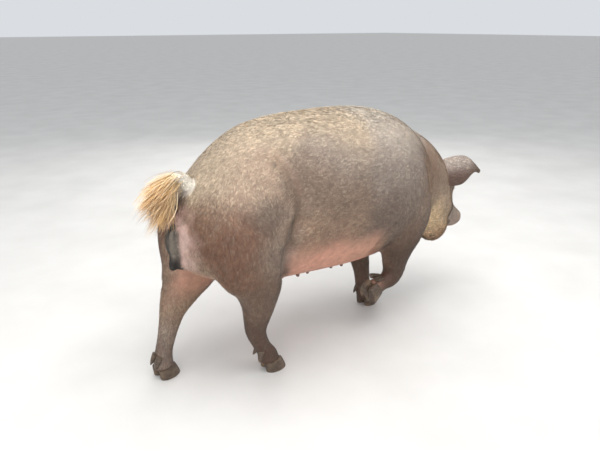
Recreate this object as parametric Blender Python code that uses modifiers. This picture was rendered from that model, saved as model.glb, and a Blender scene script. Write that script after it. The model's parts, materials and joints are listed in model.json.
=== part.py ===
"""A life-size standing sow, walking with the right fore foot lifted, as a set of closed solids.

Frame: metres, +Z up, the head towards +X, the sow's left towards +Y, the hooves on z = 0.
The flesh is modelled whole: lofted trunk, head and limbs are fused by a voxel remesh, smoothed,
sculpted with creases and lids, thinned, and then parted into named nodes by thin cuts.
Tables measure x from the root of the tail; BODY_SHIFT puts the origin under the middle of the box.
"""

import math

import bmesh
import bpy
import numpy as np
from mathutils import Matrix, Vector

TRUNK = (
    # x, top z, bottom z, half width, z of the widest line, squareness of the upper half
    (-0.062, 0.560, 0.462, 0.030, 0.512, 2.0),
    (-0.045, 0.598, 0.425, 0.085, 0.508, 2.0),
    (-0.015, 0.640, 0.385, 0.150, 0.500, 2.0),
    (0.040, 0.706, 0.358, 0.205, 0.495, 2.0),
    (0.120, 0.782, 0.330, 0.234, 0.500, 2.05),
    (0.220, 0.836, 0.310, 0.246, 0.520, 2.15),
    (0.340, 0.858, 0.298, 0.250, 0.530, 2.2),
    (0.470, 0.864, 0.288, 0.254, 0.530, 2.25),
    (0.600, 0.865, 0.282, 0.256, 0.535, 2.25),
    (0.710, 0.858, 0.290, 0.252, 0.545, 2.2),
    (0.810, 0.834, 0.315, 0.236, 0.545, 2.15),
    (0.890, 0.796, 0.340, 0.208, 0.540, 2.1),
    (0.960, 0.744, 0.370, 0.165, 0.530, 2.0),
    (1.020, 0.680, 0.400, 0.115, 0.520, 2.0),
)
TRUNK_LOWER_POWER = 2.10
HEAD_POWER = 2.2

NECK = (
    # x, y, z of the centre line, half height, half width
    (0.780, 0.000, 0.570, 0.240, 0.215),
    (0.880, 0.000, 0.554, 0.222, 0.192),
    (0.960, 0.002, 0.533, 0.201, 0.166),
    (1.030, 0.006, 0.502, 0.178, 0.142),
    (1.090, 0.012, 0.464, 0.152, 0.124),
)

HEAD_AT = Vector((1.050, 0.010, 0.548))
HEAD_PITCH = math.radians(42.0)
HEAD_YAW = math.radians(4.0)
HEAD = (
    # distance along the head from the poll, top, bottom, half width, height of the widest line
    (-0.030, 0.066, -0.130, 0.098, -0.050),
    (0.010, 0.092, -0.195, 0.122, -0.080),
    (0.060, 0.104, -0.230, 0.136, -0.110),
    (0.110, 0.100, -0.241, 0.134, -0.108),
    (0.160, 0.082, -0.210, 0.114, -0.075),
    (0.210, 0.059, -0.148, 0.086, -0.045),
    (0.260, 0.046, -0.094, 0.066, -0.022),
    (0.310, 0.042, -0.061, 0.055, -0.012),
    (0.355, 0.045, -0.044, 0.051, -0.004),
)
# Masses that stand out on each side of the head: a place on its left side and three radii.
HEAD_MASSES = {
    "jowl": (Vector((0.149, 0.078, -0.128)), (0.092, 0.054, 0.080)),
    "brow": (Vector((0.128, 0.054, 0.046)), (0.062, 0.042, 0.039)),
    "cheek": (Vector((0.132, 0.072, -0.046)), (0.090, 0.051, 0.066)),
    "chin": (Vector((0.284, 0.010, -0.070)), (0.048, 0.026, 0.021)),
}
SNOUT_DISC_AT = Vector((0.360, 0.0, -0.002))
SNOUT_DISC_RADII = (0.017, 0.056, 0.049)
SNOUT_RIM_AT = 0.367
SNOUT_RIM_RADII = (0.052, 0.045)
SNOUT_RIM = (0.0035, 0.0065)
NOSTRIL_AT = Vector((0.378, 0.0205, 0.002))
NOSTRIL_RADII = (0.022, 0.0090, 0.0120)
NOSTRIL_TURN = 24.0

# The line of the mouth on the left side, from under the snout back to its corner.
MOUTH = (
    (0.341, 0.000, -0.0545),
    (0.336, 0.018, -0.0535),
    (0.322, 0.034, -0.0500),
    (0.300, 0.047, -0.0490),
    (0.272, 0.058, -0.0540),
    (0.246, 0.068, -0.0620),
    (0.224, 0.078, -0.0730),
)
MOUTH_MIDDLE_X = 0.262
MOUTH_DEPTH = 0.010
MOUTH_OUT = 0.007
MOUTH_HALF_HEIGHT = 0.0026
# The blade's height at its outer and inner edge, as shares of the half height.
MOUTH_FLARE = (2.0, 0.3)
LIP_OFFSET = 0.0105
LIP = (0.0032, 0.0065)

# Ridges, and grooves where the height is below zero, on both sides of the head, in its own frame.
HEAD_LINES = (
    # height, half width, points on the left side
    (-0.0026, 0.0045, ((0.338, 0.000, 0.045), (0.335, 0.026, 0.038), (0.330, 0.046, 0.016))),
    (-0.0022, 0.0050, ((0.318, 0.000, 0.043), (0.314, 0.028, 0.036), (0.308, 0.048, 0.012))),
    (-0.0018, 0.0055, ((0.296, 0.000, 0.043), (0.292, 0.026, 0.038), (0.286, 0.048, 0.014))),
    (-0.0060, 0.0120, ((0.226, 0.080, -0.086), (0.222, 0.086, -0.125), (0.214, 0.072, -0.165))),
    (-0.0045, 0.0120, ((0.196, 0.088, -0.010), (0.214, 0.080, -0.036), (0.236, 0.072, -0.046))),
    (0.0040, 0.0130, ((0.150, 0.052, 0.082), (0.170, 0.062, 0.072), (0.190, 0.066, 0.058))),
)
# Folds round each eye, as arcs in its own frame: start, end, height, half width and the radii.
EYE_FOLDS = (
    (15.0, 170.0, -0.0030, 0.0042, 0.0225, 0.0170),
    (200.0, 345.0, -0.0024, 0.0040, 0.0205, 0.0150),
)
FINE_HEAD_FROM = 0.09

# Each limb is a row of stations: x, y, z, half size fore and aft, half size side to side.
LIMBS = {
    "hind_right": (
        (0.150, -0.115, 0.600, 0.120, 0.095),
        (0.135, -0.128, 0.510, 0.148, 0.110),
        (0.138, -0.138, 0.420, 0.132, 0.104),
        (0.156, -0.140, 0.345, 0.090, 0.082),
        (0.162, -0.135, 0.280, 0.066, 0.060),
        (0.158, -0.128, 0.220, 0.051, 0.044),
        (0.158, -0.120, 0.172, 0.041, 0.036),
        (0.174, -0.116, 0.125, 0.034, 0.031),
        (0.194, -0.112, 0.085, 0.033, 0.031),
        (0.210, -0.110, 0.060, 0.036, 0.036),
        (0.222, -0.110, 0.022, 0.037, 0.038),
    ),
    "hind_left": (
        (0.130, 0.118, 0.600, 0.120, 0.095),
        (0.108, 0.134, 0.510, 0.148, 0.110),
        (0.088, 0.142, 0.420, 0.142, 0.108),
        (0.056, 0.136, 0.342, 0.116, 0.086),
        (0.012, 0.124, 0.278, 0.082, 0.062),
        (-0.028, 0.110, 0.222, 0.056, 0.044),
        (-0.050, 0.098, 0.180, 0.043, 0.036),
        (-0.072, 0.086, 0.130, 0.035, 0.031),
        (-0.088, 0.078, 0.090, 0.033, 0.031),
        (-0.096, 0.072, 0.060, 0.036, 0.036),
        (-0.096, 0.070, 0.022, 0.037, 0.038),
    ),
    "fore_left": (
        (0.830, 0.130, 0.580, 0.115, 0.085),
        (0.830, 0.148, 0.490, 0.125, 0.088),
        (0.818, 0.146, 0.400, 0.105, 0.080),
        (0.808, 0.125, 0.325, 0.078, 0.065),
        (0.808, 0.100, 0.258, 0.056, 0.048),
        (0.812, 0.082, 0.195, 0.044, 0.042),
        (0.816, 0.072, 0.140, 0.034, 0.033),
        (0.818, 0.066, 0.095, 0.033, 0.032),
        (0.824, 0.062, 0.062, 0.036, 0.036),
        (0.834, 0.060, 0.022, 0.037, 0.038),
    ),
    "fore_right": (
        (0.825, -0.130, 0.580, 0.115, 0.085),
        (0.820, -0.150, 0.490, 0.122, 0.088),
        (0.802, -0.152, 0.400, 0.098, 0.080),
        (0.790, -0.146, 0.330, 0.073, 0.064),
        (0.789, -0.139, 0.274, 0.058, 0.050),
        (0.791, -0.133, 0.232, 0.048, 0.044),
        (0.775, -0.130, 0.202, 0.042, 0.038),
        (0.748, -0.128, 0.192, 0.035, 0.033),
        (0.724, -0.127, 0.188, 0.035, 0.034),
        (0.690, -0.127, 0.178, 0.036, 0.037),
    ),
}

# The middle of each sole, the yaw of the toes and the pitch that lifts the heel, in degrees.
FEET = {
    "hind_right": ((0.224, -0.110, 0.0), -6.0, 0.0),
    "hind_left": ((-0.094, 0.070, 0.0), 8.0, 0.0),
    "fore_left": ((0.836, 0.060, 0.0), 6.0, 0.0),
    "fore_right": ((0.664, -0.127, 0.166), -3.0, 70.0),
}
CORONET_HEIGHT = 0.040
CORONET_SLOPE = 0.16
CORONET_REACH = 0.062
CLAW_HALF_WIDTH = 0.0195
CLAW_CENTRE = 0.0208
CLAW_SECTIONS = (
    # share of the height, middle, half length, share of the half width
    (0.0, 0.010, 0.0390, 1.00),
    (0.3, 0.007, 0.0375, 1.00),
    (0.7, 0.002, 0.0345, 0.97),
    (1.0, -0.002, 0.0315, 0.90),
)
CLAW_POINTS = 14
DEWCLAW_AT = Vector((-0.050, 0.024, 0.082))
DEWCLAW_AIM = Vector((-0.30, 0.10, -0.85))
DEWCLAW_LENGTH = 0.034
DEWCLAW_SUNK = 0.009
DEWCLAW_GAP = 0.0005
DEWCLAW_RADII = (0.0115, 0.0050)
DEWCLAW_OUT = 0.45

# Oblique blocks that part the limbs from the trunk: x at the back and front, at the top and floor,
# z of the top at the back and front, and the inner y at the top and floor.
LIMB_BLOCKS = {
    "hind_right": ((-0.200, 0.286), (-0.200, 0.300), (0.452, 0.404), (-0.046, -0.040)),
    "hind_left": ((-0.240, 0.270), (-0.260, 0.240), (0.452, 0.404), (0.046, 0.018)),
    "fore_left": ((0.690, 0.936), (0.700, 0.936), (0.410, 0.450), (0.052, 0.008)),
    "fore_right": ((0.690, 0.936), (0.580, 0.936), (0.410, 0.450), (-0.052, -0.030)),
}
LIMB_OUTER = 0.40
BELOW_FLOOR = -0.05
# Where each limb parts at its hock or knee: a point, and the lean of the cut about Y in degrees.
LIMB_SPLITS = {
    "hind_right": ((0.160, -0.128, 0.215), 0.0),
    "hind_left": ((-0.020, 0.110, 0.230), 24.0),
    "fore_left": ((0.812, 0.085, 0.205), 0.0),
    "fore_right": ((0.790, -0.133, 0.236), -12.0),
}
# The block under each of these cuts: its lowest and its highest corner about the point.
SPLIT_BOX = ((-0.25, -0.12, -0.30), (0.25, 0.12, 0.0))
# The planes before and behind the neck: a point on each and its lean about Y in degrees.
HEAD_CUT_AT = Vector((1.034, 0.0, 0.600))
HEAD_CUT_LEAN = 22.0
HEAD_BOX = ((0.0, -0.30, -0.40), (0.60, 0.30, 0.30))
NECK_CUT = 0.962
NECK_BOX = ((NECK_CUT, -0.40, 0.20), (1.50, 0.40, 1.00))
GAP = 0.0003
CROP_MARGIN = 0.02

EYE_AT = Vector((0.168, 0.0640, 0.040))
EYE_RADIUS = 0.0125
EYE_AIM = Vector((0.30, 0.86, 0.40))
EYE_SEGMENTS = 18
LID_BULGE = 0.0152
LID_HALF_LENGTH = 0.0120
LID_HALF_HEIGHT = 0.0058
# The plug of the slit: distances out from the middle of the eye, and its size there.
LID_PLUG = ((0.004, 1.0), (0.030, 1.25))
LID_POINTS = 20

EARS = (("ear_left", 1), ("ear_right", -1))
EAR_ROOT = Vector((0.040, 0.088, 0.060))
EAR_LENGTH = 0.195
EAR_AIM = Vector((0.94, 0.24, 0.00))
EAR_DOWN = Vector((0.10, 0.55, -0.83))
EAR_DROOP = 0.020
# The upper edge stays high until the tip bends down: height of the rise and its power along the ear.
EAR_RISE = (0.026, 4.0)
EAR_SWEEP = 0.010
EAR_WIDTHS = (0.084, 0.110, 0.128, 0.134, 0.132, 0.122, 0.102, 0.068, 0.018)
EAR_WRAPS = (200.0, 150.0, 105.0, 80.0, 66.0, 56.0, 48.0, 40.0, 34.0)
EAR_THICKNESS = 0.007
EAR_SUNK = 0.14
EAR_STEPS = 11
EAR_ACROSS = 8

TAIL = (
    # x, y, z of the middle line and the radius
    (0.060, 0.004, 0.628, 0.0260),
    (0.030, 0.006, 0.648, 0.0250),
    (0.010, 0.008, 0.664, 0.0235),
    (-0.004, 0.010, 0.684, 0.0215),
    (-0.022, 0.012, 0.697, 0.0190),
    (-0.041, 0.014, 0.690, 0.0165),
    (-0.051, 0.014, 0.668, 0.0140),
    (-0.053, 0.012, 0.640, 0.0110),
    (-0.054, 0.010, 0.612, 0.0060),
)
TAIL_POINTS = 12
SWITCH_LOCKS = 22
SWITCH_SEED = 7
SWITCH_BACK = Vector((-0.93, 0.09, -0.36))
SWITCH_DOWN = Vector((-0.68, 0.05, -0.73))
SWITCH_FROM = 0.52
SWITCH_LENGTHS = (0.156, 0.104)
SWITCH_WIDTH = 0.017
SWITCH_THICKNESS = 0.0042
SWITCH_STATIONS = 5
SWITCH_SAG = 0.015
# How much a lock follows the tail's own way, and how far it strays to the side.
SWITCH_ALONG = 0.15
SWITCH_ASIDE = 0.24
SWITCH_SUNK = 0.004
SWITCH_ROLL = 0.9
SWITCH_ROLL_SPREAD = 0.72

TEAT_PAIRS = 7
TEAT_FIRST_X = 0.314
TEAT_STEP = 0.053
TEAT_HALF_GAP = 0.062
TEAT_LENGTH = 0.017
TEAT_RADII = (0.0085, 0.0050)
TEAT_SUNK = 0.010

VULVA = (
    # middle and radii of the swelling, and of its lower tip
    ((-0.050, 0.000, 0.500), (0.033, 0.034, 0.056)),
    ((-0.040, 0.000, 0.438), (0.034, 0.022, 0.050)),
)

RING_POINTS = 96
LIMB_RING_POINTS = 32
FLESH_VOXEL = 0.006
BLEND_PASSES = 26
TORSO_TRIANGLES = 2650
HEAD_TRIANGLES = 3300
NECK_TRIANGLES = 650
UPPER_LIMB_TRIANGLES = 530
LOWER_LIMB_TRIANGLES = 400

# Creases and hollows of the trunk, measured as the tables above are.
BODY_LINES = (
    # height, half width, points
    (-0.0120, 0.018, ((0.905, -0.21, 0.665), (0.912, -0.20, 0.58), (0.905, -0.19, 0.50), (0.880, -0.17, 0.43))),
    (-0.0120, 0.018, ((0.905, 0.21, 0.665), (0.912, 0.20, 0.58), (0.905, 0.19, 0.50), (0.880, 0.17, 0.43))),
    (-0.0110, 0.015, ((0.668, -0.24, 0.458), (0.640, -0.23, 0.415), (0.622, -0.21, 0.372), (0.64, -0.17, 0.33))),
    (-0.0110, 0.015, ((0.690, 0.24, 0.458), (0.672, 0.23, 0.410), (0.668, 0.21, 0.370), (0.68, 0.16, 0.32))),
    (-0.0090, 0.018, ((0.290, -0.24, 0.46), (0.284, -0.23, 0.40), (0.266, -0.20, 0.35), (0.250, -0.16, 0.31))),
    (-0.0090, 0.018, ((0.275, 0.24, 0.47), (0.264, 0.23, 0.41), (0.246, 0.20, 0.36), (0.215, 0.15, 0.32))),
    (-0.0150, 0.045, ((0.120, -0.20, 0.77), (0.165, -0.24, 0.66), (0.212, -0.25, 0.56), (0.238, -0.25, 0.46))),
    (-0.0150, 0.045, ((0.120, 0.20, 0.77), (0.165, 0.24, 0.66), (0.212, 0.25, 0.56), (0.238, 0.25, 0.46))),
    (0.0080, 0.032, ((0.115, -0.24, 0.62), (0.140, -0.25, 0.53), (0.160, -0.24, 0.45), (0.170, -0.20, 0.37))),
    (0.0080, 0.032, ((0.115, 0.24, 0.62), (0.140, 0.25, 0.53), (0.150, 0.24, 0.45), (0.140, 0.20, 0.37))),
    (-0.0090, 0.014, ((-0.060, 0.14, 0.305), (-0.065, 0.07, 0.335), (-0.065, 0.02, 0.362))),
    (-0.0070, 0.014, ((0.010, -0.15, 0.330), (-0.020, -0.10, 0.345), (-0.045, -0.04, 0.370))),
    (0.0080, 0.012, ((-0.080, 0.016, 0.540), (-0.088, 0.019, 0.495), (-0.082, 0.011, 0.446), (-0.076, 0.004, 0.408))),
    (0.0080, 0.012, ((-0.080, -0.016, 0.540), (-0.088, -0.019, 0.495), (-0.082, -0.011, 0.446), (-0.076, -0.004, 0.408))),
    (-0.0090, 0.006, ((-0.080, 0.0, 0.545), (-0.086, 0.0, 0.500), (-0.080, 0.0, 0.440))),
)

BODY_SHIFT = Vector((-0.5967, 0.0, 0.0))

FLESH_TONES = {
    "torso": (0.37, 0.28, 0.20),
    "neck": (0.36, 0.29, 0.22),
    "head": (0.42, 0.31, 0.21),
    "limb": (0.20, 0.15, 0.12),
    "ear": (0.33, 0.26, 0.22),
    "tail": (0.55, 0.38, 0.20),
}
CLAW_TONE = (0.07, 0.055, 0.045)
EYE_TONE = (0.04, 0.025, 0.015)


def clear_scene():
    for old in list(bpy.data.objects):
        bpy.data.objects.remove(old, do_unlink=True)


def new_collection(name):
    made = bpy.data.collections.new(name)
    bpy.context.scene.collection.children.link(made)
    return made


def smooth_rows(rows, steps):
    """Rows of numbers with `steps` rows for each interval, on a Catmull-Rom curve through them all."""
    rows = np.array(rows, float)
    padded = np.vstack([2 * rows[0] - rows[1], rows, 2 * rows[-1] - rows[-2]])
    made = []
    for i in range(1, len(padded) - 2):
        a, b, c, d = padded[i - 1 : i + 3]
        for t in np.arange(steps) / steps:
            made.append(
                0.5 * (2 * b + (c - a) * t + (2 * a - 5 * b + 4 * c - d) * t**2 + (3 * b - a - 3 * c + d) * t**3)
            )
    made.append(rows[-1])
    return np.array(made)


def rounded(value, power):
    """A superellipse's cosine or sine: 2 gives an ellipse, more gives a squarer section."""
    return math.copysign(abs(value) ** (2.0 / power), value)


def add_mesh(name, points, faces, collection):
    mesh = bpy.data.meshes.new(name)
    mesh.from_pydata([tuple(p) for p in points], [], faces)
    made = bpy.data.objects.new(name, mesh)
    collection.objects.link(made)
    return made


def facing_out(made):
    work = bmesh.new()
    work.from_mesh(made.data)
    bmesh.ops.recalc_face_normals(work, faces=work.faces)
    work.to_mesh(made.data)
    work.free()
    return made


def loft(name, rings, collection):
    """A closed skin through rings of equal count, with a flat cap on each end."""
    count = len(rings[0])
    points = [p for ring in rings for p in ring]
    faces = [tuple(reversed(range(count)))]
    for r in range(len(rings) - 1):
        for i in range(count):
            j = (i + 1) % count
            faces.append((r * count + i, r * count + j, (r + 1) * count + j, (r + 1) * count + i))
    faces.append(tuple((len(rings) - 1) * count + i for i in range(count)))
    return facing_out(add_mesh(name, points, faces, collection))


def profile_ring(x, top, bottom, half_width, widest, upper_power=HEAD_POWER, lower_power=HEAD_POWER):
    """One upright section across +X."""
    ring = []
    for k in range(RING_POINTS):
        angle = 2 * math.pi * k / RING_POINTS
        power = upper_power if math.sin(angle) >= 0 else lower_power
        y = half_width * rounded(math.cos(angle), power)
        reach = (top - widest) if math.sin(angle) >= 0 else (widest - bottom)
        ring.append(Vector((x, y, widest + reach * rounded(math.sin(angle), power))))
    return ring


def tube(name, stations, collection, points=LIMB_RING_POINTS, side=Vector((0, 1, 0))):
    """A limb or neck: oval rings square to a smooth path, given as x, y, z, half depth, half width."""
    rows = smooth_rows(stations, 4)
    rings = []
    for i, row in enumerate(rows):
        ahead = rows[min(i + 1, len(rows) - 1)][:3] - rows[max(i - 1, 0)][:3]
        along = Vector(ahead).normalized()
        across = (side - along * side.dot(along)).normalized()
        depth = along.cross(across)
        rings.append(
            [
                Vector(row[:3])
                + depth * (row[3] * math.cos(2 * math.pi * k / points))
                + across * (row[-1] * math.sin(2 * math.pi * k / points))
                for k in range(points)
            ]
        )
    return loft(name, rings, collection)


def ball(name, at, radii, collection, segments=24):
    """An ellipsoid from the sphere primitive."""
    made = add_mesh(name, [], [], collection)
    work = bmesh.new()
    bmesh.ops.create_uvsphere(work, u_segments=segments, v_segments=segments * 2 // 3, radius=1.0)
    place = Matrix.Translation(Vector(at)) @ Matrix.Diagonal((*radii, 1.0))
    bmesh.ops.transform(work, matrix=place, verts=work.verts)
    work.to_mesh(made.data)
    work.free()
    return made


def block(name, corners, collection):
    """A six-sided cutter, the hull of its eight corners."""
    made = add_mesh(name, corners, [], collection)
    work = bmesh.new()
    work.from_mesh(made.data)
    bmesh.ops.convex_hull(work, input=work.verts)
    work.to_mesh(made.data)
    work.free()
    facing_out(made)
    made.hide_render = True
    made.display_type = "WIRE"
    return made


def box_corners(low, high, place=Matrix.Identity(4)):
    return [
        place @ Vector((x, y, z))
        for z in (low[2], high[2])
        for x, y in ((low[0], low[1]), (high[0], low[1]), (high[0], high[1]), (low[0], high[1]))
    ]


def head_place():
    """The head's own frame: +X from poll to snout, +Z out of the forehead."""
    return Matrix.Translation(HEAD_AT) @ Matrix.Rotation(HEAD_YAW, 4, "Z") @ Matrix.Rotation(HEAD_PITCH, 4, "Y")


def foot_place(limb):
    """A foot's frame: the middle of the sole, +X to the toes, +Z up the leg."""
    at, yaw, pitch = FEET[limb]
    turn = Matrix.Rotation(math.radians(yaw), 4, "Z") @ Matrix.Rotation(math.radians(pitch), 4, "Y")
    return Matrix.Translation(Vector(at)) @ turn


def flesh_pieces(pieces):
    """The overlapping masses that the flesh is fused from."""
    rows = smooth_rows(TRUNK, 3)
    loft("trunk", [profile_ring(*row, TRUNK_LOWER_POWER) for row in rows], pieces)
    tube("neck", NECK, pieces, RING_POINTS)
    head = loft("head", [profile_ring(*row) for row in smooth_rows(HEAD, 3)], pieces)
    head.data.transform(head_place())
    disc = ball("disc", SNOUT_DISC_AT, SNOUT_DISC_RADII, pieces)
    disc.data.transform(head_place())
    for name, (at, radii) in HEAD_MASSES.items():
        for side in (1, -1):
            mass = ball(name, mirrored(at, side), radii, pieces)
            mass.data.transform(head_place())
    for name, stations in LIMBS.items():
        tube(name, stations, pieces)
    for at, radii in VULVA:
        ball("vulva", at, radii, pieces)


def joined(name, pieces, target):
    """One mesh holding all the pieces, still overlapping."""
    work = bmesh.new()
    for piece in pieces.objects:
        work.from_mesh(piece.data)
    made = add_mesh(name, [], [], target)
    work.to_mesh(made.data)
    work.free()
    for piece in list(pieces.objects):
        bpy.data.objects.remove(piece, do_unlink=True)
    return made


def applied(made):
    """Replaces the object's mesh by its evaluated one, with its modifiers gone."""
    graph = bpy.context.evaluated_depsgraph_get()
    mesh = bpy.data.meshes.new_from_object(made.evaluated_get(graph))
    made.modifiers.clear()
    old = made.data
    made.data = mesh
    bpy.data.meshes.remove(old)
    return made


def fused(made):
    remesh = made.modifiers.new("fuse", "REMESH")
    remesh.mode = "VOXEL"
    remesh.voxel_size = FLESH_VOXEL
    blend = made.modifiers.new("blend", "SMOOTH")
    blend.factor = 0.5
    blend.iterations = BLEND_PASSES
    return applied(made)


def refined(flesh):
    """Halves the mesh size on the face, where the forms are small."""
    to_head = head_place().inverted()
    work = bmesh.new()
    work.from_mesh(flesh.data)
    chosen = {vert for vert in work.verts if (to_head @ vert.co).x > FINE_HEAD_FROM}
    edges = [edge for edge in work.edges if edge.verts[0] in chosen and edge.verts[1] in chosen]
    bmesh.ops.subdivide_edges(work, edges=edges, cuts=1, use_grid_fill=True)
    work.to_mesh(flesh.data)
    work.free()
    return flesh


def distance_from(points, path):
    """How far each point is from a path of straight pieces."""
    best = np.full(len(points), np.inf)
    for start, end in zip(path[:-1], path[1:]):
        along = end - start
        share = np.clip((points - start) @ along / (along @ along), 0.0, 1.0)
        best = np.minimum(best, np.linalg.norm(points - start - share[:, None] * along, axis=1))
    return best


def pressed(flesh, lines):
    """Raises a ridge, or presses a groove where the height is below zero, along each line."""
    mesh = flesh.data
    points = np.array([vert.co for vert in mesh.vertices])
    normals = np.array([vert.normal for vert in mesh.vertices])
    move = np.zeros(len(points))
    for height, half_width, line in lines:
        path = np.array([flesh.closest_point_on_mesh(Vector(p))[1] for p in smooth_rows(line, 5)])
        move += height * np.exp(-((distance_from(points, path) / half_width) ** 2))
    mesh.vertices.foreach_set("co", (points + normals * move[:, None]).ravel())
    mesh.update()
    return flesh


def head_lines():
    """Lips, wrinkles and folds of both sides, and the rim of the snout, in the table's frame."""
    lines = list(HEAD_LINES)
    lips = np.array(MOUTH)
    for offset in (LIP_OFFSET, -LIP_OFFSET):
        lines.append((*LIP, lips + np.array((0.0, 0.0, offset))))
    placed = []
    for side in (1, -1):
        for height, half_width, points in lines:
            placed.append((height, half_width, [head_place() @ mirrored(Vector(p), side) for p in points]))
        for start, end, height, half_width, long, tall in EYE_FOLDS:
            arc = [math.radians(a) for a in np.linspace(start, end, 7)]
            fold = [Vector((long * math.cos(a), tall * math.sin(a), EYE_RADIUS)) for a in arc]
            placed.append((height, half_width, [eye_frame(side) @ p for p in fold]))
    rim = []
    for angle in np.linspace(0, 2 * math.pi, 25):
        across = SNOUT_RIM_RADII[0] * math.cos(angle)
        rim.append(head_place() @ Vector((SNOUT_RIM_AT, across, SNOUT_RIM_RADII[1] * math.sin(angle))))
    placed.append((*SNOUT_RIM, rim))
    return placed


def mouth_cutter(flesh, cutters):
    """A blade that opens the line of the mouth, sharp inside and tapering to its corners."""
    left = [Vector(row) for row in smooth_rows(MOUTH, 3)]
    line = [mirrored(p, -1) for p in reversed(left)] + left[1:]
    rings = []
    for i, place in enumerate(line):
        share = abs(2 * i / (len(line) - 1) - 1)
        taper = 1 - share**6 * 0.85
        middle = Vector((min(place.x, MOUTH_MIDDLE_X), 0.0, place.z))
        out = (head_place().to_3x3() @ (place - middle)).normalized()
        up = head_place().to_3x3() @ Vector((0, 0, 1))
        at = flesh.closest_point_on_mesh(head_place() @ place)[1]
        outer = at + out * MOUTH_OUT
        inner = at - out * (MOUTH_DEPTH * taper)
        rings.append(
            [
                outer + up * (MOUTH_HALF_HEIGHT * MOUTH_FLARE[0]),
                outer - up * (MOUTH_HALF_HEIGHT * MOUTH_FLARE[0]),
                inner - up * (MOUTH_HALF_HEIGHT * MOUTH_FLARE[1]),
                inner + up * (MOUTH_HALF_HEIGHT * MOUTH_FLARE[1]),
            ]
        )
    made = loft("mouth", rings, cutters)
    made.hide_render = True
    made.display_type = "WIRE"
    return made


def open_mouth_and_nostrils(head, flesh, cutters):
    boolean(head, mouth_cutter(flesh, cutters), "DIFFERENCE")
    for side in (1, -1):
        nostril = ball("nostril", (0, 0, 0), NOSTRIL_RADII, cutters, 16)
        turn = Matrix.Rotation(math.radians(NOSTRIL_TURN) * side, 4, "X")
        nostril.data.transform(head_place() @ Matrix.Translation(mirrored(NOSTRIL_AT, side)) @ turn)
        nostril.hide_render = True
        nostril.display_type = "WIRE"
        boolean(head, nostril, "DIFFERENCE")


def thinned(made, triangles):
    made.data.calc_loop_triangles()
    thin = made.modifiers.new("thin", "DECIMATE")
    thin.ratio = triangles / len(made.data.loop_triangles)
    return applied(made)


def largest_only(made):
    """Keeps the largest closed surface of the object and drops loose scraps."""
    work = bmesh.new()
    work.from_mesh(made.data)
    left = set(work.verts)
    shells = []
    while left:
        shell, front = set(), [left.pop()]
        while front:
            vert = front.pop()
            shell.add(vert)
            for edge in vert.link_edges:
                other = edge.other_vert(vert)
                if other in left:
                    left.discard(other)
                    front.append(other)
        shells.append(shell)
    shells.sort(key=len)
    bmesh.ops.delete(work, geom=[v for shell in shells[:-1] for v in shell], context="VERTS")
    work.to_mesh(made.data)
    work.free()
    return made


def boolean(made, other, operation, solver="EXACT"):
    change = made.modifiers.new(operation.lower(), "BOOLEAN")
    change.operation = operation
    change.solver = solver
    change.object = other
    return largest_only(applied(made))


def union_with(made, pieces):
    """Joins every object of a collection to the object and removes them."""
    change = made.modifiers.new("union", "BOOLEAN")
    change.operation = "UNION"
    change.operand_type = "COLLECTION"
    change.collection = pieces
    largest_only(applied(made))
    for piece in list(pieces.objects):
        bpy.data.objects.remove(piece, do_unlink=True)
    return made


def copy_of(made, name, collection):
    copied = bpy.data.objects.new(name, made.data.copy())
    collection.objects.link(copied)
    return copied


def grown(made, name, collection, by=GAP):
    """A cutter whose every face stands out from the object's by the same distance."""
    copied = copy_of(made, name, collection)
    work = bmesh.new()
    work.from_mesh(copied.data)
    moves = []
    for vert in work.verts:
        normals = np.array([face.normal for face in vert.link_faces])
        move = Vector(np.linalg.lstsq(normals, np.full(len(normals), by), rcond=0.05)[0])
        moves.append(move.normalized() * min(move.length, 2.5 * by))
    for vert, move in zip(work.verts, moves):
        vert.co += move
    work.to_mesh(copied.data)
    work.free()
    copied.hide_render = True
    copied.display_type = "WIRE"
    return copied


def part_off(flesh, body, name, cutter, triangles, sow, cutters):
    """Makes the share of the flesh inside the cutter a node of its own, a gap away from the body.

    The fine flesh is cropped a little larger first, by the quick solver, so that each node is
    thinned to its own number of triangles before its flat cut faces are made.
    """
    node = boolean(copy_of(flesh, name, sow), grown(cutter, "crop", cutters, CROP_MARGIN), "INTERSECT", "MANIFOLD")
    thinned(node, triangles)
    boolean(node, cutter, "INTERSECT")
    boolean(body, grown(cutter, "clear", cutters), "DIFFERENCE")
    return node


def limb_block(limb, cutters):
    (back_top, front_top), (back_low, front_low), (z_back, z_front), (inner_top, inner_low) = LIMB_BLOCKS[limb]
    outer = math.copysign(LIMB_OUTER, inner_top)
    corners = [
        Vector((back_low, inner_low, BELOW_FLOOR)),
        Vector((front_low, inner_low, BELOW_FLOOR)),
        Vector((front_low, outer, BELOW_FLOOR)),
        Vector((back_low, outer, BELOW_FLOOR)),
        Vector((back_top, inner_top, z_back)),
        Vector((front_top, inner_top, z_front)),
        Vector((front_top, outer, z_front)),
        Vector((back_top, outer, z_back)),
    ]
    return block(limb + "_block", corners, cutters)


def split_block(limb, cutters):
    """A block under the cut across a hock or knee."""
    at, lean = LIMB_SPLITS[limb]
    place = Matrix.Translation(Vector(at)) @ Matrix.Rotation(math.radians(lean), 4, "Y")
    return block(limb + "_split", box_corners(*SPLIT_BOX, place), cutters)


def coronet_block(limb, cutters):
    """A block that takes the place of the claws under the slope of the coronet."""
    reach = CORONET_REACH
    corners = []
    for x, y in ((-reach, -reach), (reach, -reach), (reach, reach), (-reach, reach)):
        top = CORONET_HEIGHT + CORONET_SLOPE * x
        corners.append(foot_place(limb) @ Vector((x, y, -reach / 2)))
        corners.append(foot_place(limb) @ Vector((x, y, top)))
    return block(limb + "_coronet", corners, cutters)


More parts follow.
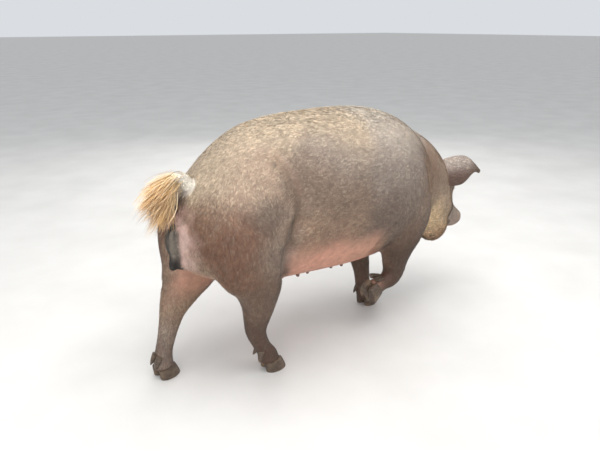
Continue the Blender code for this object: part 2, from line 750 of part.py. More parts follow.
def claw(name, limb, side, sow):
    """One main claw: a hoof-shaped loft with a flat sole, its top against the coronet."""
    rings = []
    for share, middle, half_length, width in CLAW_SECTIONS:
        ring = []
        for k in range(CLAW_POINTS):
            angle = 2 * math.pi * k / CLAW_POINTS
            ahead = (1 + math.cos(angle)) / 2
            x = middle + half_length * math.cos(angle)
            narrow = 1.0 - 0.36 * ahead**2.5
            bow = 1.0 if math.sin(angle) * side > 0 else 0.90
            y = side * CLAW_CENTRE + CLAW_HALF_WIDTH * width * narrow * bow * math.sin(angle)
            y -= side * 0.004 * ahead**2
            z = share * (CORONET_HEIGHT + CORONET_SLOPE * x - GAP)
            ring.append(foot_place(limb) @ Vector((x, y, z)))
        rings.append(ring)
    made = loft(name, rings, sow)
    for vert in made.data.vertices:
        if abs(vert.co.z) < 1e-6:
            vert.co.z = 0.0
    return made


def dewclaw(name, limb, side, lower, sow):
    """A small pointed claw on the back of the pastern, its root still inside the flesh."""
    made = add_mesh(name, [], [], sow)
    work = bmesh.new()
    bmesh.ops.create_cone(
        work,
        cap_ends=True,
        segments=8,
        radius1=DEWCLAW_RADII[0],
        radius2=DEWCLAW_RADII[1],
        depth=DEWCLAW_LENGTH,
    )
    _, at, normal, _ = lower.closest_point_on_mesh(foot_place(limb) @ mirrored(DEWCLAW_AT, side))
    aim = (foot_place(limb).to_3x3() @ mirrored(DEWCLAW_AIM, side) + normal * DEWCLAW_OUT).normalized()
    middle = Matrix.Translation(at + aim * (DEWCLAW_LENGTH / 2) - normal * DEWCLAW_SUNK)
    bmesh.ops.transform(work, matrix=middle @ aim.to_track_quat("Z", "Y").to_matrix().to_4x4(), verts=work.verts)
    work.to_mesh(made.data)
    work.free()
    return made


def mirrored(point, side):
    """Tables give the left side; the right is its mirror in y."""
    return Vector((point.x, point.y * side, point.z))


def ear(name, side, sow):
    """A cupped, half-hanging ear: an arc of changing width and wrap swept from root to tip."""
    root = head_place() @ mirrored(EAR_ROOT, side)
    level = Matrix.Rotation(HEAD_YAW, 3, "Z")
    aim = (level @ mirrored(EAR_AIM, side)).normalized()
    down = level @ mirrored(EAR_DOWN, side)
    down = (down - aim * down.dot(aim)).normalized()
    out = aim.cross(down) * side
    if out.z < 0:
        out = -out
    shape = smooth_rows(list(zip(EAR_WIDTHS, EAR_WRAPS)), 4)
    points = []
    for i in range(EAR_STEPS + 1):
        share = i / EAR_STEPS
        width, wrap = shape[int(round(share * (len(shape) - 1)))]
        bend = math.radians(wrap)
        radius = width / bend
        along = EAR_LENGTH * (share * (1 + EAR_SUNK) - EAR_SUNK)
        for j in range(EAR_ACROSS + 1):
            turn = bend * (j / EAR_ACROSS - 0.5)
            edge = abs(j / EAR_ACROSS - 0.5) * 2
            place = root + aim * (along - EAR_SWEEP * edge**2 * share)
            place += down * (radius * math.sin(turn)) - out * (radius * (1 - math.cos(turn)))
            place -= down * (EAR_RISE[0] * math.sin(math.pi * share ** EAR_RISE[1]))
            place.z -= EAR_DROOP * max(share, 0.0) ** 2
            points.append(place)
    row = EAR_ACROSS + 1
    faces = [
        (i * row + j, i * row + j + 1, (i + 1) * row + j + 1, (i + 1) * row + j)
        for i in range(EAR_STEPS)
        for j in range(EAR_ACROSS)
    ]
    made = add_mesh(name, points, faces, sow)
    thick = made.modifiers.new("thickness", "SOLIDIFY")
    thick.thickness = EAR_THICKNESS
    thick.offset = 0.0
    return facing_out(applied(made))


def eye_frame(side):
    """+Z out of the eye, +X along the slit of the lids."""
    aim = mirrored(EYE_AIM, side).normalized()
    along = Vector((1.0, 0.0, -0.12))
    along = (along - aim * along.dot(aim)).normalized()
    up = aim.cross(along)
    turn = Matrix((along, up, aim)).transposed().to_4x4()
    return head_place() @ Matrix.Translation(mirrored(EYE_AT, side)) @ turn


def lid_slit(name, side, cutters):
    """An almond-shaped plug that opens the lids in front of the eyeball."""
    rings = []
    for depth, share in LID_PLUG:
        ring = []
        for k in range(LID_POINTS):
            angle = 2 * math.pi * k / LID_POINTS
            x = LID_HALF_LENGTH * share * math.cos(angle)
            y = LID_HALF_HEIGHT * share * math.sin(angle) * abs(math.sin(angle)) ** 0.5
            ring.append(eye_frame(side) @ Vector((x, y, depth)))
        rings.append(ring)
    made = loft(name, rings, cutters)
    made.hide_render = True
    made.display_type = "WIRE"
    return made


def add_eyes(head, sow, cutters):
    for label, side in (("left", 1), ("right", -1)):
        place = eye_frame(side)
        socket = ball("socket_" + label, (0, 0, 0), (EYE_RADIUS + GAP,) * 3, cutters, EYE_SEGMENTS)
        socket.data.transform(place)
        socket.hide_render = True
        socket.display_type = "WIRE"
        boolean(socket, lid_slit("slit_" + label, side, cutters), "UNION")
        boolean(head, socket, "DIFFERENCE")
        eyeball = ball("eye_" + label, (0, 0, 0), (EYE_RADIUS,) * 3, sow, EYE_SEGMENTS)
        eyeball.data.transform(place)


def lid_bulges(flesh):
    """Swells the skin over each eyeball so that the lids have their thickness."""
    for side in (1, -1):
        centre = eye_frame(side).translation
        for vert in flesh.data.vertices:
            away = vert.co - centre
            if away.length < LID_BULGE:
                vert.co = centre + away.normalized() * LID_BULGE


def lock(name, root, aim, length, width, roll, collection):
    """A flat tapered lock of hair: a lens-shaped section that narrows and bends down to its tip."""
    rings = []
    side = aim.cross(Vector((0, 0, 1)))
    side = side.normalized() if side.length > 0.05 else Vector((0, 1, 0))
    side.rotate(Matrix.Rotation(roll, 3, aim))
    for i in range(SWITCH_STATIONS):
        share = i / (SWITCH_STATIONS - 1)
        middle = root + aim * (length * share) + Vector((0, 0, -SWITCH_SAG * share**2))
        spread = width * (0.55 + 1.2 * share) * (1 - share) ** 0.7 + 0.0012
        thick = SWITCH_THICKNESS * (1 - 0.7 * share)
        face = side.cross(aim).normalized()
        rings.append(
            [
                middle - side * spread,
                middle - face * thick,
                middle + side * spread,
                middle + face * thick,
            ]
        )
    return loft(name, rings, collection)


def add_tail(sow, pieces):
    """The tail curls up and over, and long locks hang from its outer part."""
    rows = smooth_rows(TAIL, 4)
    stations = [(*row[:3], row[3], row[3]) for row in TAIL]
    tail = tube("tail", stations, sow, TAIL_POINTS)
    draw = np.random.default_rng(SWITCH_SEED)
    for i in range(SWITCH_LOCKS):
        share = SWITCH_FROM + (1 - SWITCH_FROM) * (i + 0.5) / SWITCH_LOCKS
        at = share * (len(rows) - 1)
        row = rows[int(at)]
        ahead = rows[min(int(at) + 1, len(rows) - 1)][:3] - rows[int(at) - 1][:3]
        along = Vector(ahead).normalized()
        turn = draw.uniform(0, 2 * math.pi)
        aside = Vector((math.cos(turn), math.sin(turn), 0.3 * math.sin(2 * turn)))
        hang = (share - SWITCH_FROM) / (1 - SWITCH_FROM)
        fan = SWITCH_BACK.lerp(SWITCH_DOWN, hang)
        aim = (fan + along * SWITCH_ALONG + aside * SWITCH_ASIDE).normalized()
        root = Vector(row[:3]) - aim * SWITCH_SUNK
        roll = SWITCH_ROLL + draw.uniform(-SWITCH_ROLL_SPREAD, SWITCH_ROLL_SPREAD)
        length = (SWITCH_LENGTHS[0] * (1 - hang) + SWITCH_LENGTHS[1] * hang) * draw.uniform(0.66, 1.0)
        lock("lock", root, aim, length, SWITCH_WIDTH * draw.uniform(0.8, 1.2), roll, pieces)
    return union_with(tail, pieces)


def teat(name, at, outward, collection):
    made = add_mesh(name, [], [], collection)
    work = bmesh.new()
    bmesh.ops.create_cone(
        work,
        cap_ends=True,
        segments=8,
        radius1=TEAT_RADII[0],
        radius2=TEAT_RADII[1],
        depth=TEAT_LENGTH + TEAT_SUNK,
    )
    turn = outward.to_track_quat("Z", "Y").to_matrix().to_4x4()
    middle = Matrix.Translation(at + outward * ((TEAT_LENGTH - TEAT_SUNK) / 2))
    bmesh.ops.transform(work, matrix=middle @ turn, verts=work.verts)
    work.to_mesh(made.data)
    work.free()
    return made


def add_teats(torso, pieces):
    """Two rows of teats along the belly, each set on the surface under its place."""
    for side in (1, -1):
        for i in range(TEAT_PAIRS):
            start = Vector((TEAT_FIRST_X + TEAT_STEP * i, side * TEAT_HALF_GAP, 0.0))
            found, at, normal, _ = torso.ray_cast(start, Vector((0, 0, 1)))
            if found:
                teat("teat", at, (normal + Vector((0, 0, -0.6))).normalized(), pieces)
    union_with(torso, pieces)


def finish(made, tone, roughness):
    """Gives the node its own material and shades it smooth."""
    material = bpy.data.materials.new(made.name)
    material.use_nodes = True
    shader = material.node_tree.nodes["Principled BSDF"]
    shader.inputs["Base Color"].default_value = (*tone, 1.0)
    shader.inputs["Roughness"].default_value = roughness
    made.data.materials.clear()
    made.data.materials.append(material)
    made.data.shade_smooth()
    made.data.set_sharp_from_angle(angle=math.radians(40))


def add_limb(limb, flesh, body, head_clear, sow, cutters):
    """The upper and the lower part of one leg, down to the coronet."""
    whole = boolean(limb_block(limb, cutters), head_clear, "DIFFERENCE")
    below = split_block(limb, cutters)
    lower_block = boolean(copy_of(whole, limb + "_low", cutters), below, "INTERSECT")
    upper = part_off(flesh, body, limb + "_upper", whole, UPPER_LIMB_TRIANGLES, sow, cutters)
    lower = part_off(flesh, upper, limb + "_lower", lower_block, LOWER_LIMB_TRIANGLES, sow, cutters)
    boolean(lower, coronet_block(limb, cutters), "DIFFERENCE")
    return [upper, lower]


def main():
    clear_scene()
    pieces = new_collection("pieces")
    cutters = new_collection("cutters")
    sow = new_collection("sow")
    flesh_pieces(pieces)
    flesh = refined(fused(joined("flesh", pieces, cutters)))
    pressed(flesh, BODY_LINES)
    pressed(flesh, head_lines())
    lid_bulges(flesh)

    body = thinned(copy_of(flesh, "torso", sow), TORSO_TRIANGLES)
    around_head = Matrix.Translation(HEAD_CUT_AT) @ Matrix.Rotation(math.radians(HEAD_CUT_LEAN), 4, "Y")
    head_block = block("head_block", box_corners(*HEAD_BOX, around_head), cutters)
    neck_block = block("neck_block", box_corners(*NECK_BOX), cutters)
    head_clear = grown(head_block, "head_clear", cutters)
    boolean(neck_block, head_clear, "DIFFERENCE")
    head = part_off(flesh, body, "head", head_block, HEAD_TRIANGLES, sow, cutters)
    neck = part_off(flesh, body, "neck", neck_block, NECK_TRIANGLES, sow, cutters)
    limbs = []
    for limb in LIMBS:
        limbs += add_limb(limb, flesh, body, head_clear, sow, cutters)
    add_teats(body, pieces)
    open_mouth_and_nostrils(head, flesh, cutters)
    add_eyes(head, sow, cutters)
    tail = boolean(add_tail(sow, pieces), grown(body, "clear", cutters), "DIFFERENCE")
    skull = grown(head, "skull_clear", cutters)
    ears = [boolean(ear(name, side, sow), skull, "DIFFERENCE") for name, side in EARS]

    claws = []
    for limb in FEET:
        lower = sow.objects[limb + "_lower"]
        pastern = grown(lower, "clear", cutters, DEWCLAW_GAP)
        for label, side in (("left", 1), ("right", -1)):
            claws.append(claw(limb + "_claw_" + label, limb, side, sow))
            small = dewclaw(limb + "_dewclaw_" + label, limb, side, lower, sow)
            claws.append(boolean(small, pastern, "DIFFERENCE"))

    for old in list(cutters.objects):
        bpy.data.objects.remove(old, do_unlink=True)
    for made in sow.objects:
        made.data.transform(Matrix.Translation(BODY_SHIFT))
    finish(body, FLESH_TONES["torso"], 0.75)
    finish(neck, FLESH_TONES["neck"], 0.75)
    finish(head, FLESH_TONES["head"], 0.70)
    finish(tail, FLESH_TONES["tail"], 0.70)
    for made in limbs:
        finish(made, FLESH_TONES["limb"], 0.75)
    for made in ears:
        finish(made, FLESH_TONES["ear"], 0.70)
    for made in claws:
        finish(made, CLAW_TONE, 0.45)
    for label in ("left", "right"):
        finish(sow.objects["eye_" + label], EYE_TONE, 0.10)


if __name__ == "__main__":
    main()
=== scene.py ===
"""A life-size sow, walking with the right fore foot lifted: skin, coat, eyes and claws over its solids.

The tables are those of the solids, in metres from the root of the tail. One skin is fused from them
on a finer mesh and sculpted, the coat is set on it in short blades that follow its lie, and the tail
carries its long hair.
"""

import itertools
import json
import math

import bmesh
import bpy
import numpy as np
from mathutils import Matrix, Vector
from mathutils.bvhtree import BVHTree
from mathutils.kdtree import KDTree

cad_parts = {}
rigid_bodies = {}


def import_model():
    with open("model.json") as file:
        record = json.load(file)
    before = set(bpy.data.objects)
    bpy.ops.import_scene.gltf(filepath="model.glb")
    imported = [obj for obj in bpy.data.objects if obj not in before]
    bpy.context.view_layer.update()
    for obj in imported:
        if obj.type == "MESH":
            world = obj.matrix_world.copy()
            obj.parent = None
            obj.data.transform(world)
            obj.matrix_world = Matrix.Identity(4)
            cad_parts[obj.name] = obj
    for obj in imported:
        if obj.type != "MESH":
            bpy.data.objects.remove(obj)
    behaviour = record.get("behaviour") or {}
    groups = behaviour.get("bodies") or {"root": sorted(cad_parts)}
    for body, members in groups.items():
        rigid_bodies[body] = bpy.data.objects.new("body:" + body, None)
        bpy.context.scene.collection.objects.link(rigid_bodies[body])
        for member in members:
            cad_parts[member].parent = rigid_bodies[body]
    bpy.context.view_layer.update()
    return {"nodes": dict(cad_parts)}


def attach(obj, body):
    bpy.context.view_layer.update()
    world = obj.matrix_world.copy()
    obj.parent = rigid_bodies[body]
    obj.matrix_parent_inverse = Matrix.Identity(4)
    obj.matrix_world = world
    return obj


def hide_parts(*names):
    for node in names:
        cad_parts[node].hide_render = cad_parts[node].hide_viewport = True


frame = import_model()
SCENE = bpy.context.scene

TRUNK = (
    # x, top z, bottom z, half width, z of the widest line, squareness of the upper half
    (-0.062, 0.560, 0.462, 0.030, 0.512, 2.0),
    (-0.045, 0.598, 0.425, 0.085, 0.508, 2.0),
    (-0.015, 0.640, 0.385, 0.150, 0.500, 2.0),
    (0.040, 0.706, 0.358, 0.205, 0.495, 2.0),
    (0.120, 0.782, 0.330, 0.234, 0.500, 2.05),
    (0.220, 0.836, 0.310, 0.246, 0.520, 2.15),
    (0.340, 0.858, 0.298, 0.250, 0.530, 2.2),
    (0.470, 0.864, 0.288, 0.254, 0.530, 2.25),
    (0.600, 0.865, 0.282, 0.256, 0.535, 2.25),
    (0.710, 0.858, 0.290, 0.252, 0.545, 2.2),
    (0.810, 0.834, 0.315, 0.236, 0.545, 2.15),
    (0.890, 0.796, 0.340, 0.208, 0.540, 2.1),
    (0.960, 0.744, 0.370, 0.165, 0.530, 2.0),
    (1.020, 0.680, 0.400, 0.115, 0.520, 2.0),
)
TRUNK_LOWER_POWER = 2.10
HEAD_POWER = 2.2

NECK = (
    # x, y, z of the centre line, half height, half width
    (0.780, 0.000, 0.570, 0.240, 0.215),
    (0.880, 0.000, 0.554, 0.222, 0.192),
    (0.960, 0.002, 0.533, 0.201, 0.166),
    (1.030, 0.006, 0.502, 0.178, 0.142),
    (1.090, 0.012, 0.464, 0.152, 0.124),
)

HEAD_AT = Vector((1.050, 0.010, 0.548))
HEAD_PITCH = math.radians(42.0)
HEAD_YAW = math.radians(4.0)
HEAD = (
    # distance along the head from the poll, top, bottom, half width, height of the widest line
    (-0.030, 0.066, -0.130, 0.098, -0.050),
    (0.010, 0.092, -0.195, 0.122, -0.080),
    (0.060, 0.104, -0.230, 0.136, -0.110),
    (0.110, 0.100, -0.241, 0.134, -0.108),
    (0.160, 0.082, -0.210, 0.114, -0.075),
    (0.210, 0.059, -0.148, 0.086, -0.045),
    (0.260, 0.046, -0.094, 0.066, -0.022),
    (0.310, 0.042, -0.061, 0.055, -0.012),
    (0.355, 0.045, -0.044, 0.051, -0.004),
)
HEAD_MASSES = {
    "jowl": (Vector((0.149, 0.078, -0.128)), (0.092, 0.054, 0.080)),
    "brow": (Vector((0.128, 0.054, 0.046)), (0.062, 0.042, 0.039)),
    "cheek": (Vector((0.132, 0.072, -0.046)), (0.090, 0.051, 0.066)),
    "chin": (Vector((0.284, 0.010, -0.070)), (0.048, 0.026, 0.021)),
}
SNOUT_DISC_AT = Vector((0.360, 0.0, -0.002))
SNOUT_DISC_RADII = (0.017, 0.056, 0.049)
SNOUT_RIM_AT = 0.367
SNOUT_RIM_RADII = (0.052, 0.045)
NOSTRIL_AT = Vector((0.378, 0.0205, 0.002))
NOSTRIL_RADII = (0.022, 0.0090, 0.0120)
NOSTRIL_TURN = 24.0
MOUTH = (
    (0.341, 0.000, -0.0545),
    (0.336, 0.018, -0.0535),
    (0.322, 0.034, -0.0500),
    (0.300, 0.047, -0.0490),
    (0.272, 0.058, -0.0540),
    (0.246, 0.068, -0.0620),
    (0.224, 0.078, -0.0730),
)
MOUTH_MIDDLE_X = 0.262
MOUTH_DEPTH = 0.012
MOUTH_OUT = 0.006
MOUTH_HALF_HEIGHT = 0.0018
LIP_OFFSET = 0.0095
LIP = (0.0034, 0.0060)

# Ridges, and grooves where the height is below zero, on both sides of the head, in its own frame.
HEAD_LINES = (
    # height, half width, points on the left side
    (-0.0028, 0.0036, ((0.338, 0.000, 0.045), (0.335, 0.026, 0.038), (0.330, 0.046, 0.016))),
    (-0.0020, 0.0032, ((0.326, 0.006, 0.044), (0.322, 0.030, 0.037), (0.316, 0.048, 0.010))),
    (-0.0026, 0.0040, ((0.313, 0.000, 0.043), (0.309, 0.028, 0.036), (0.303, 0.048, 0.012))),
    (-0.0016, 0.0034, ((0.300, 0.004, 0.043), (0.297, 0.024, 0.038), (0.292, 0.044, 0.020))),
    (-0.0022, 0.0042, ((0.286, 0.000, 0.044), (0.282, 0.026, 0.039), (0.276, 0.050, 0.016))),
    (-0.0014, 0.0042, ((0.266, 0.004, 0.047), (0.262, 0.026, 0.042), (0.256, 0.046, 0.026))),
    (-0.0060, 0.0110, ((0.226, 0.080, -0.086), (0.222, 0.086, -0.125), (0.214, 0.072, -0.165))),
    (-0.0045, 0.0110, ((0.196, 0.088, -0.010), (0.214, 0.080, -0.036), (0.236, 0.072, -0.046))),
    (-0.0020, 0.0050, ((0.205, 0.084, 0.004), (0.222, 0.076, -0.016), (0.244, 0.066, -0.026))),
    (-0.0022, 0.0050, ((0.118, 0.098, 0.020), (0.136, 0.098, 0.000), (0.160, 0.100, -0.014))),
    (-0.0018, 0.0045, ((0.098, 0.020, 0.098), (0.104, 0.044, 0.092), (0.100, 0.066, 0.080))),
    (-0.0016, 0.0045, ((0.128, 0.010, 0.092), (0.134, 0.032, 0.088), (0.132, 0.052, 0.082))),
    (0.0040, 0.0130, ((0.150, 0.052, 0.082), (0.170, 0.062, 0.072), (0.190, 0.066, 0.058))),
)
# Folds round each eye, as arcs in its own frame: start, end, height, half width and the radii.
EYE_FOLDS = (
    (15.0, 170.0, -0.0030, 0.0034, 0.0225, 0.0170),
    (200.0, 345.0, -0.0024, 0.0032, 0.0205, 0.0150),
    (215.0, 330.0, -0.0016, 0.0030, 0.0280, 0.0220),
    (25.0, 150.0, -0.0016, 0.0034, 0.0310, 0.0250),
)

ANUS_RIM = (
    (-0.052, 0.012, 0.606),
    (-0.056, 0.0, 0.594),
    (-0.052, -0.012, 0.606),
    (-0.046, 0.0, 0.618),
    (-0.052, 0.012, 0.606),
)
# Creases and hollows of the trunk.
BODY_LINES = (
    # height, half width, points
    (-0.0110, 0.015, ((0.668, -0.24, 0.458), (0.64, -0.23, 0.415), (0.622, -0.21, 0.372), (0.64, -0.17, 0.33))),
    (-0.0110, 0.015, ((0.690, 0.24, 0.458), (0.672, 0.23, 0.410), (0.668, 0.21, 0.370), (0.68, 0.16, 0.32))),
    (-0.0110, 0.016, ((0.222, -0.235, 0.49), (0.212, -0.222, 0.43), (0.222, -0.19, 0.37), (0.24, -0.16, 0.33))),
    (-0.0090, 0.018, ((0.275, 0.24, 0.47), (0.264, 0.23, 0.41), (0.246, 0.20, 0.36), (0.215, 0.15, 0.32))),
    (-0.0170, 0.030, ((0.250, -0.17, 0.77), (0.272, -0.22, 0.70), (0.285, -0.24, 0.64), (0.262, -0.24, 0.56))),
    (-0.0150, 0.026, ((0.262, -0.24, 0.56), (0.240, -0.24, 0.52), (0.222, -0.235, 0.48))),
    (-0.0150, 0.034, ((0.250, 0.17, 0.77), (0.272, 0.22, 0.70), (0.285, 0.24, 0.64), (0.262, 0.24, 0.56))),
    (0.0080, 0.018, ((0.205, -0.17, 0.765), (0.222, -0.21, 0.69), (0.238, -0.23, 0.64), (0.226, -0.24, 0.59))),
    (0.0060, 0.018, ((0.226, -0.24, 0.59), (0.205, -0.235, 0.55), (0.190, -0.235, 0.50))),
    (0.0060, 0.020, ((0.205, 0.17, 0.765), (0.222, 0.21, 0.69), (0.238, 0.23, 0.64), (0.222, 0.24, 0.58))),
    (0.0090, 0.032, ((0.115, -0.24, 0.62), (0.140, -0.25, 0.53), (0.160, -0.24, 0.45), (0.170, -0.20, 0.37))),
    (0.0090, 0.032, ((0.115, 0.24, 0.62), (0.140, 0.25, 0.53), (0.150, 0.24, 0.45), (0.140, 0.20, 0.37))),
    (-0.0090, 0.014, ((-0.060, 0.14, 0.305), (-0.065, 0.07, 0.335), (-0.065, 0.02, 0.362))),
    (-0.0070, 0.014, ((0.010, -0.15, 0.330), (-0.020, -0.10, 0.345), (-0.045, -0.04, 0.370))),
    (-0.0100, 0.0055, ((-0.080, 0.0, 0.545), (-0.086, 0.0, 0.500), (-0.080, 0.0, 0.440))),
    (0.0050, 0.010, ANUS_RIM),
    (-0.0060, 0.006, ((-0.052, 0.003, 0.606), (-0.052, -0.003, 0.604))),
)
VULVA_RIDGE = ((-0.080, 0.016, 0.540), (-0.088, 0.019, 0.495), (-0.082, 0.011, 0.446), (-0.076, 0.004, 0.408))
VULVA_GROOVE = ((-0.070, 0.032, 0.536), (-0.078, 0.038, 0.495), (-0.066, 0.028, 0.446), (-0.060, 0.018, 0.402))
# Those that are the same on both sides, with the points of the left one.
PAIRED_LINES = (
    (-0.0120, 0.018, ((0.905, 0.21, 0.665), (0.912, 0.20, 0.58), (0.905, 0.19, 0.50), (0.880, 0.17, 0.43))),
    (0.0050, 0.045, ((0.360, 0.23, 0.70), (0.430, 0.25, 0.60), (0.490, 0.25, 0.52))),
    (0.0085, 0.012, VULVA_RIDGE),
    (-0.0042, 0.006, VULVA_GROOVE),
    (-0.0022, 0.0045, ((-0.082, 0.024, 0.530), (-0.086, 0.027, 0.495), (-0.080, 0.018, 0.450))),
    (-0.0030, 0.005, ((-0.050, 0.060, 0.575), (-0.058, 0.040, 0.560), (-0.064, 0.020, 0.556))),
)

# Each limb is a row of stations: x, y, z, half size fore and aft, half size side to side.
LIMBS = {
    "hind_right": (
        (0.150, -0.115, 0.600, 0.120, 0.095),
        (0.135, -0.128, 0.510, 0.148, 0.110),
        (0.138, -0.138, 0.420, 0.132, 0.104),
        (0.156, -0.140, 0.345, 0.090, 0.082),
        (0.162, -0.135, 0.280, 0.066, 0.060),
        (0.158, -0.128, 0.220, 0.051, 0.044),
        (0.158, -0.120, 0.172, 0.041, 0.036),
        (0.174, -0.116, 0.125, 0.034, 0.031),
        (0.194, -0.112, 0.085, 0.033, 0.031),
        (0.210, -0.110, 0.060, 0.036, 0.036),
        (0.222, -0.110, 0.022, 0.037, 0.038),
    ),
    "hind_left": (
        (0.130, 0.118, 0.600, 0.120, 0.095),
        (0.108, 0.134, 0.510, 0.148, 0.110),
        (0.088, 0.142, 0.420, 0.142, 0.108),
        (0.056, 0.136, 0.342, 0.116, 0.086),
        (0.012, 0.124, 0.278, 0.082, 0.062),
        (-0.028, 0.110, 0.222, 0.056, 0.044),
        (-0.050, 0.098, 0.180, 0.043, 0.036),
        (-0.072, 0.086, 0.130, 0.035, 0.031),
        (-0.088, 0.078, 0.090, 0.033, 0.031),
        (-0.096, 0.072, 0.060, 0.036, 0.036),
        (-0.096, 0.070, 0.022, 0.037, 0.038),
    ),
    "fore_left": (
        (0.830, 0.130, 0.580, 0.115, 0.085),
        (0.830, 0.148, 0.490, 0.125, 0.088),
        (0.818, 0.146, 0.400, 0.105, 0.080),
        (0.808, 0.125, 0.325, 0.078, 0.065),
        (0.808, 0.100, 0.258, 0.056, 0.048),
        (0.812, 0.082, 0.195, 0.044, 0.042),
        (0.816, 0.072, 0.140, 0.034, 0.033),
        (0.818, 0.066, 0.095, 0.033, 0.032),
        (0.824, 0.062, 0.062, 0.036, 0.036),
        (0.834, 0.060, 0.022, 0.037, 0.038),
    ),
    "fore_right": (
        (0.825, -0.130, 0.580, 0.115, 0.085),
        (0.820, -0.150, 0.490, 0.122, 0.088),
        (0.802, -0.152, 0.400, 0.098, 0.080),
        (0.790, -0.146, 0.330, 0.073, 0.064),
        (0.789, -0.139, 0.274, 0.058, 0.050),
        (0.791, -0.133, 0.232, 0.048, 0.044),
        (0.775, -0.130, 0.202, 0.042, 0.038),
        (0.748, -0.128, 0.192, 0.035, 0.033),
        (0.724, -0.127, 0.188, 0.035, 0.034),
        (0.690, -0.127, 0.178, 0.036, 0.037),
    ),
}
FEET = {
    "hind_right": ((0.224, -0.110, 0.0), -6.0, 0.0),
    "hind_left": ((-0.094, 0.070, 0.0), 8.0, 0.0),
    "fore_left": ((0.836, 0.060, 0.0), 6.0, 0.0),
    "fore_right": ((0.664, -0.127, 0.166), -3.0, 70.0),
}
CORONET_HEIGHT = 0.040
CORONET_SLOPE = 0.16
CLAW_HALF_WIDTH = 0.0195
CLAW_CENTRE = 0.0208
CLAW_SECTIONS = (
    # share of the height, middle, half length, share of the half width
    (0.0, 0.010, 0.0390, 1.00),
    (0.3, 0.007, 0.0375, 1.00),
    (0.7, 0.002, 0.0345, 0.97),
    (1.0, -0.002, 0.0315, 0.90),
)

EYE_AT = Vector((0.168, 0.0640, 0.040))
EYE_RADIUS = 0.0125
EYE_AIM = Vector((0.30, 0.86, 0.40))
LID_BULGE = 0.0150
LID_HALF_LENGTH = 0.0124
LID_HALF_HEIGHT = 0.0070

EAR_ROOT = Vector((0.040, 0.088, 0.060))
EAR_LENGTH = 0.195
EAR_AIM = Vector((0.94, 0.24, 0.00))
EAR_DOWN = Vector((0.10, 0.55, -0.83))
EAR_DROOP = 0.020
# The upper edge stays high until the tip bends down: height of the rise and its power along the ear.
EAR_RISE = (0.026, 4.0)
EAR_SWEEP = 0.010
EAR_WIDTHS = (0.084, 0.110, 0.128, 0.134, 0.132, 0.122, 0.102, 0.068, 0.018)
EAR_WRAPS = (200.0, 150.0, 105.0, 80.0, 66.0, 56.0, 48.0, 40.0, 34.0)
EAR_SUNK = 0.14
EAR_STEPS = 64
EAR_ACROSS = 48
EAR_THICK_ROOT = 0.0075
EAR_THICK_TIP = 0.0034

TAIL = (
    # x, y, z of the middle line and the radius
    (0.060, 0.004, 0.628, 0.0260),
    (0.030, 0.006, 0.648, 0.0250),
    (0.010, 0.008, 0.664, 0.0235),
    (-0.004, 0.010, 0.684, 0.0215),
    (-0.022, 0.012, 0.697, 0.0190),
    (-0.041, 0.014, 0.690, 0.0165),
    (-0.051, 0.014, 0.668, 0.0140),
    (-0.053, 0.012, 0.640, 0.0110),
    (-0.054, 0.010, 0.612, 0.0060),
)
SWITCH_BACK = Vector((-0.93, 0.09, -0.36))
SWITCH_DOWN = Vector((-0.68, 0.05, -0.73))
SWITCH_FROM = 0.50
SWITCH_LENGTHS = (0.156, 0.104)
SWITCH_CLUMPS = 90
SWITCH_HAIRS = 34

TEAT_PAIRS = 7
TEAT_FIRST_X = 0.314
TEAT_STEP = 0.053
TEAT_HALF_GAP = 0.062
# Each teat's outline: height from the skin and radius.
TEAT_PROFILE = (
    (-0.012, 0.0165),
    (-0.003, 0.0135),
    (0.001, 0.0100),
    (0.005, 0.0078),
    (0.010, 0.0069),
    (0.0135, 0.0064),
    (0.0158, 0.0048),
    (0.0164, 0.0022),
)

VULVA = (
    # middle and radii of the swelling, and of its lower tip
    ((-0.050, 0.000, 0.500), (0.033, 0.034, 0.056)),
    ((-0.040, 0.000, 0.438), (0.034, 0.022, 0.050)),
)

# The origin is under the middle of the box.
BODY_SHIFT = Vector((-0.5967, 0.0, 0.0))
# The masks of the head and of the snout count only in front of these.
HEAD_FROM_X = 0.92
SNOUT_FROM_X = 1.1

RING_POINTS = 96
FLESH_VOXEL = 0.0050
BLEND_PASSES = 36
SEED = 11
BODY_TUFTS = 780000
FINE_TUFTS = 120000
TRIANGLES_IN_A_PIECE = 195000
STROKE_SIZE = 0.0056
STROKE_LOW = 0.48
STROKE_SPAN = 1.08
TUFT_STRAY = 0.17
TUFT_ROLL = 0.42
TUFT_SUNK = 0.0008
CLAWS_TOP = 0.046
LIFTED_FOOT_X = 0.70
# The map of the coat: the size of a tuft on it, the triangles of the coarse copy that is unwrapped, and
# how far apart the corners around a tuft may lie on it.
PATCH = 0.003
MAP_TRIANGLES = 16000
MAP_SPAN = 0.02
BRISTLE_DROOP = 0.22
LASHES = 34
BRISTLES = 150
CHIN_BRISTLES = 60
SNOUT_BRISTLES = 45

CAMERA_AT = Vector((-0.766, -1.592, 1.140))
CAMERA_AZIMUTH = math.radians(-37.0)
CAMERA_DOWN = math.radians(19.0)
CAMERA_LENS = 35.0


def tone(red, green, blue):
    """An everyday screen colour, 0 to 255, as linear light."""
    shares = np.array((red, green, blue)) / 255.0
    return ((shares + 0.055) / 1.055) ** 2.4


def smooth_rows(rows, steps):
    """Rows of numbers with `steps` rows for each interval, on a Catmull-Rom curve through them all."""
    rows = np.array(rows, float)
    padded = np.vstack([2 * rows[0] - rows[1], rows, 2 * rows[-1] - rows[-2]])
    made = []
    for i in range(1, len(padded) - 2):
        a, b, c, d = padded[i - 1 : i + 3]
        for t in np.arange(steps) / steps:
            square, cube = 2 * a - 5 * b + 4 * c - d, 3 * b - a - 3 * c + d
            made.append(0.5 * (2 * b + (c - a) * t + square * t**2 + cube * t**3))
    made.append(rows[-1])
    return np.array(made)


def rounded(value, power):
    return math.copysign(abs(value) ** (2.0 / power), value)


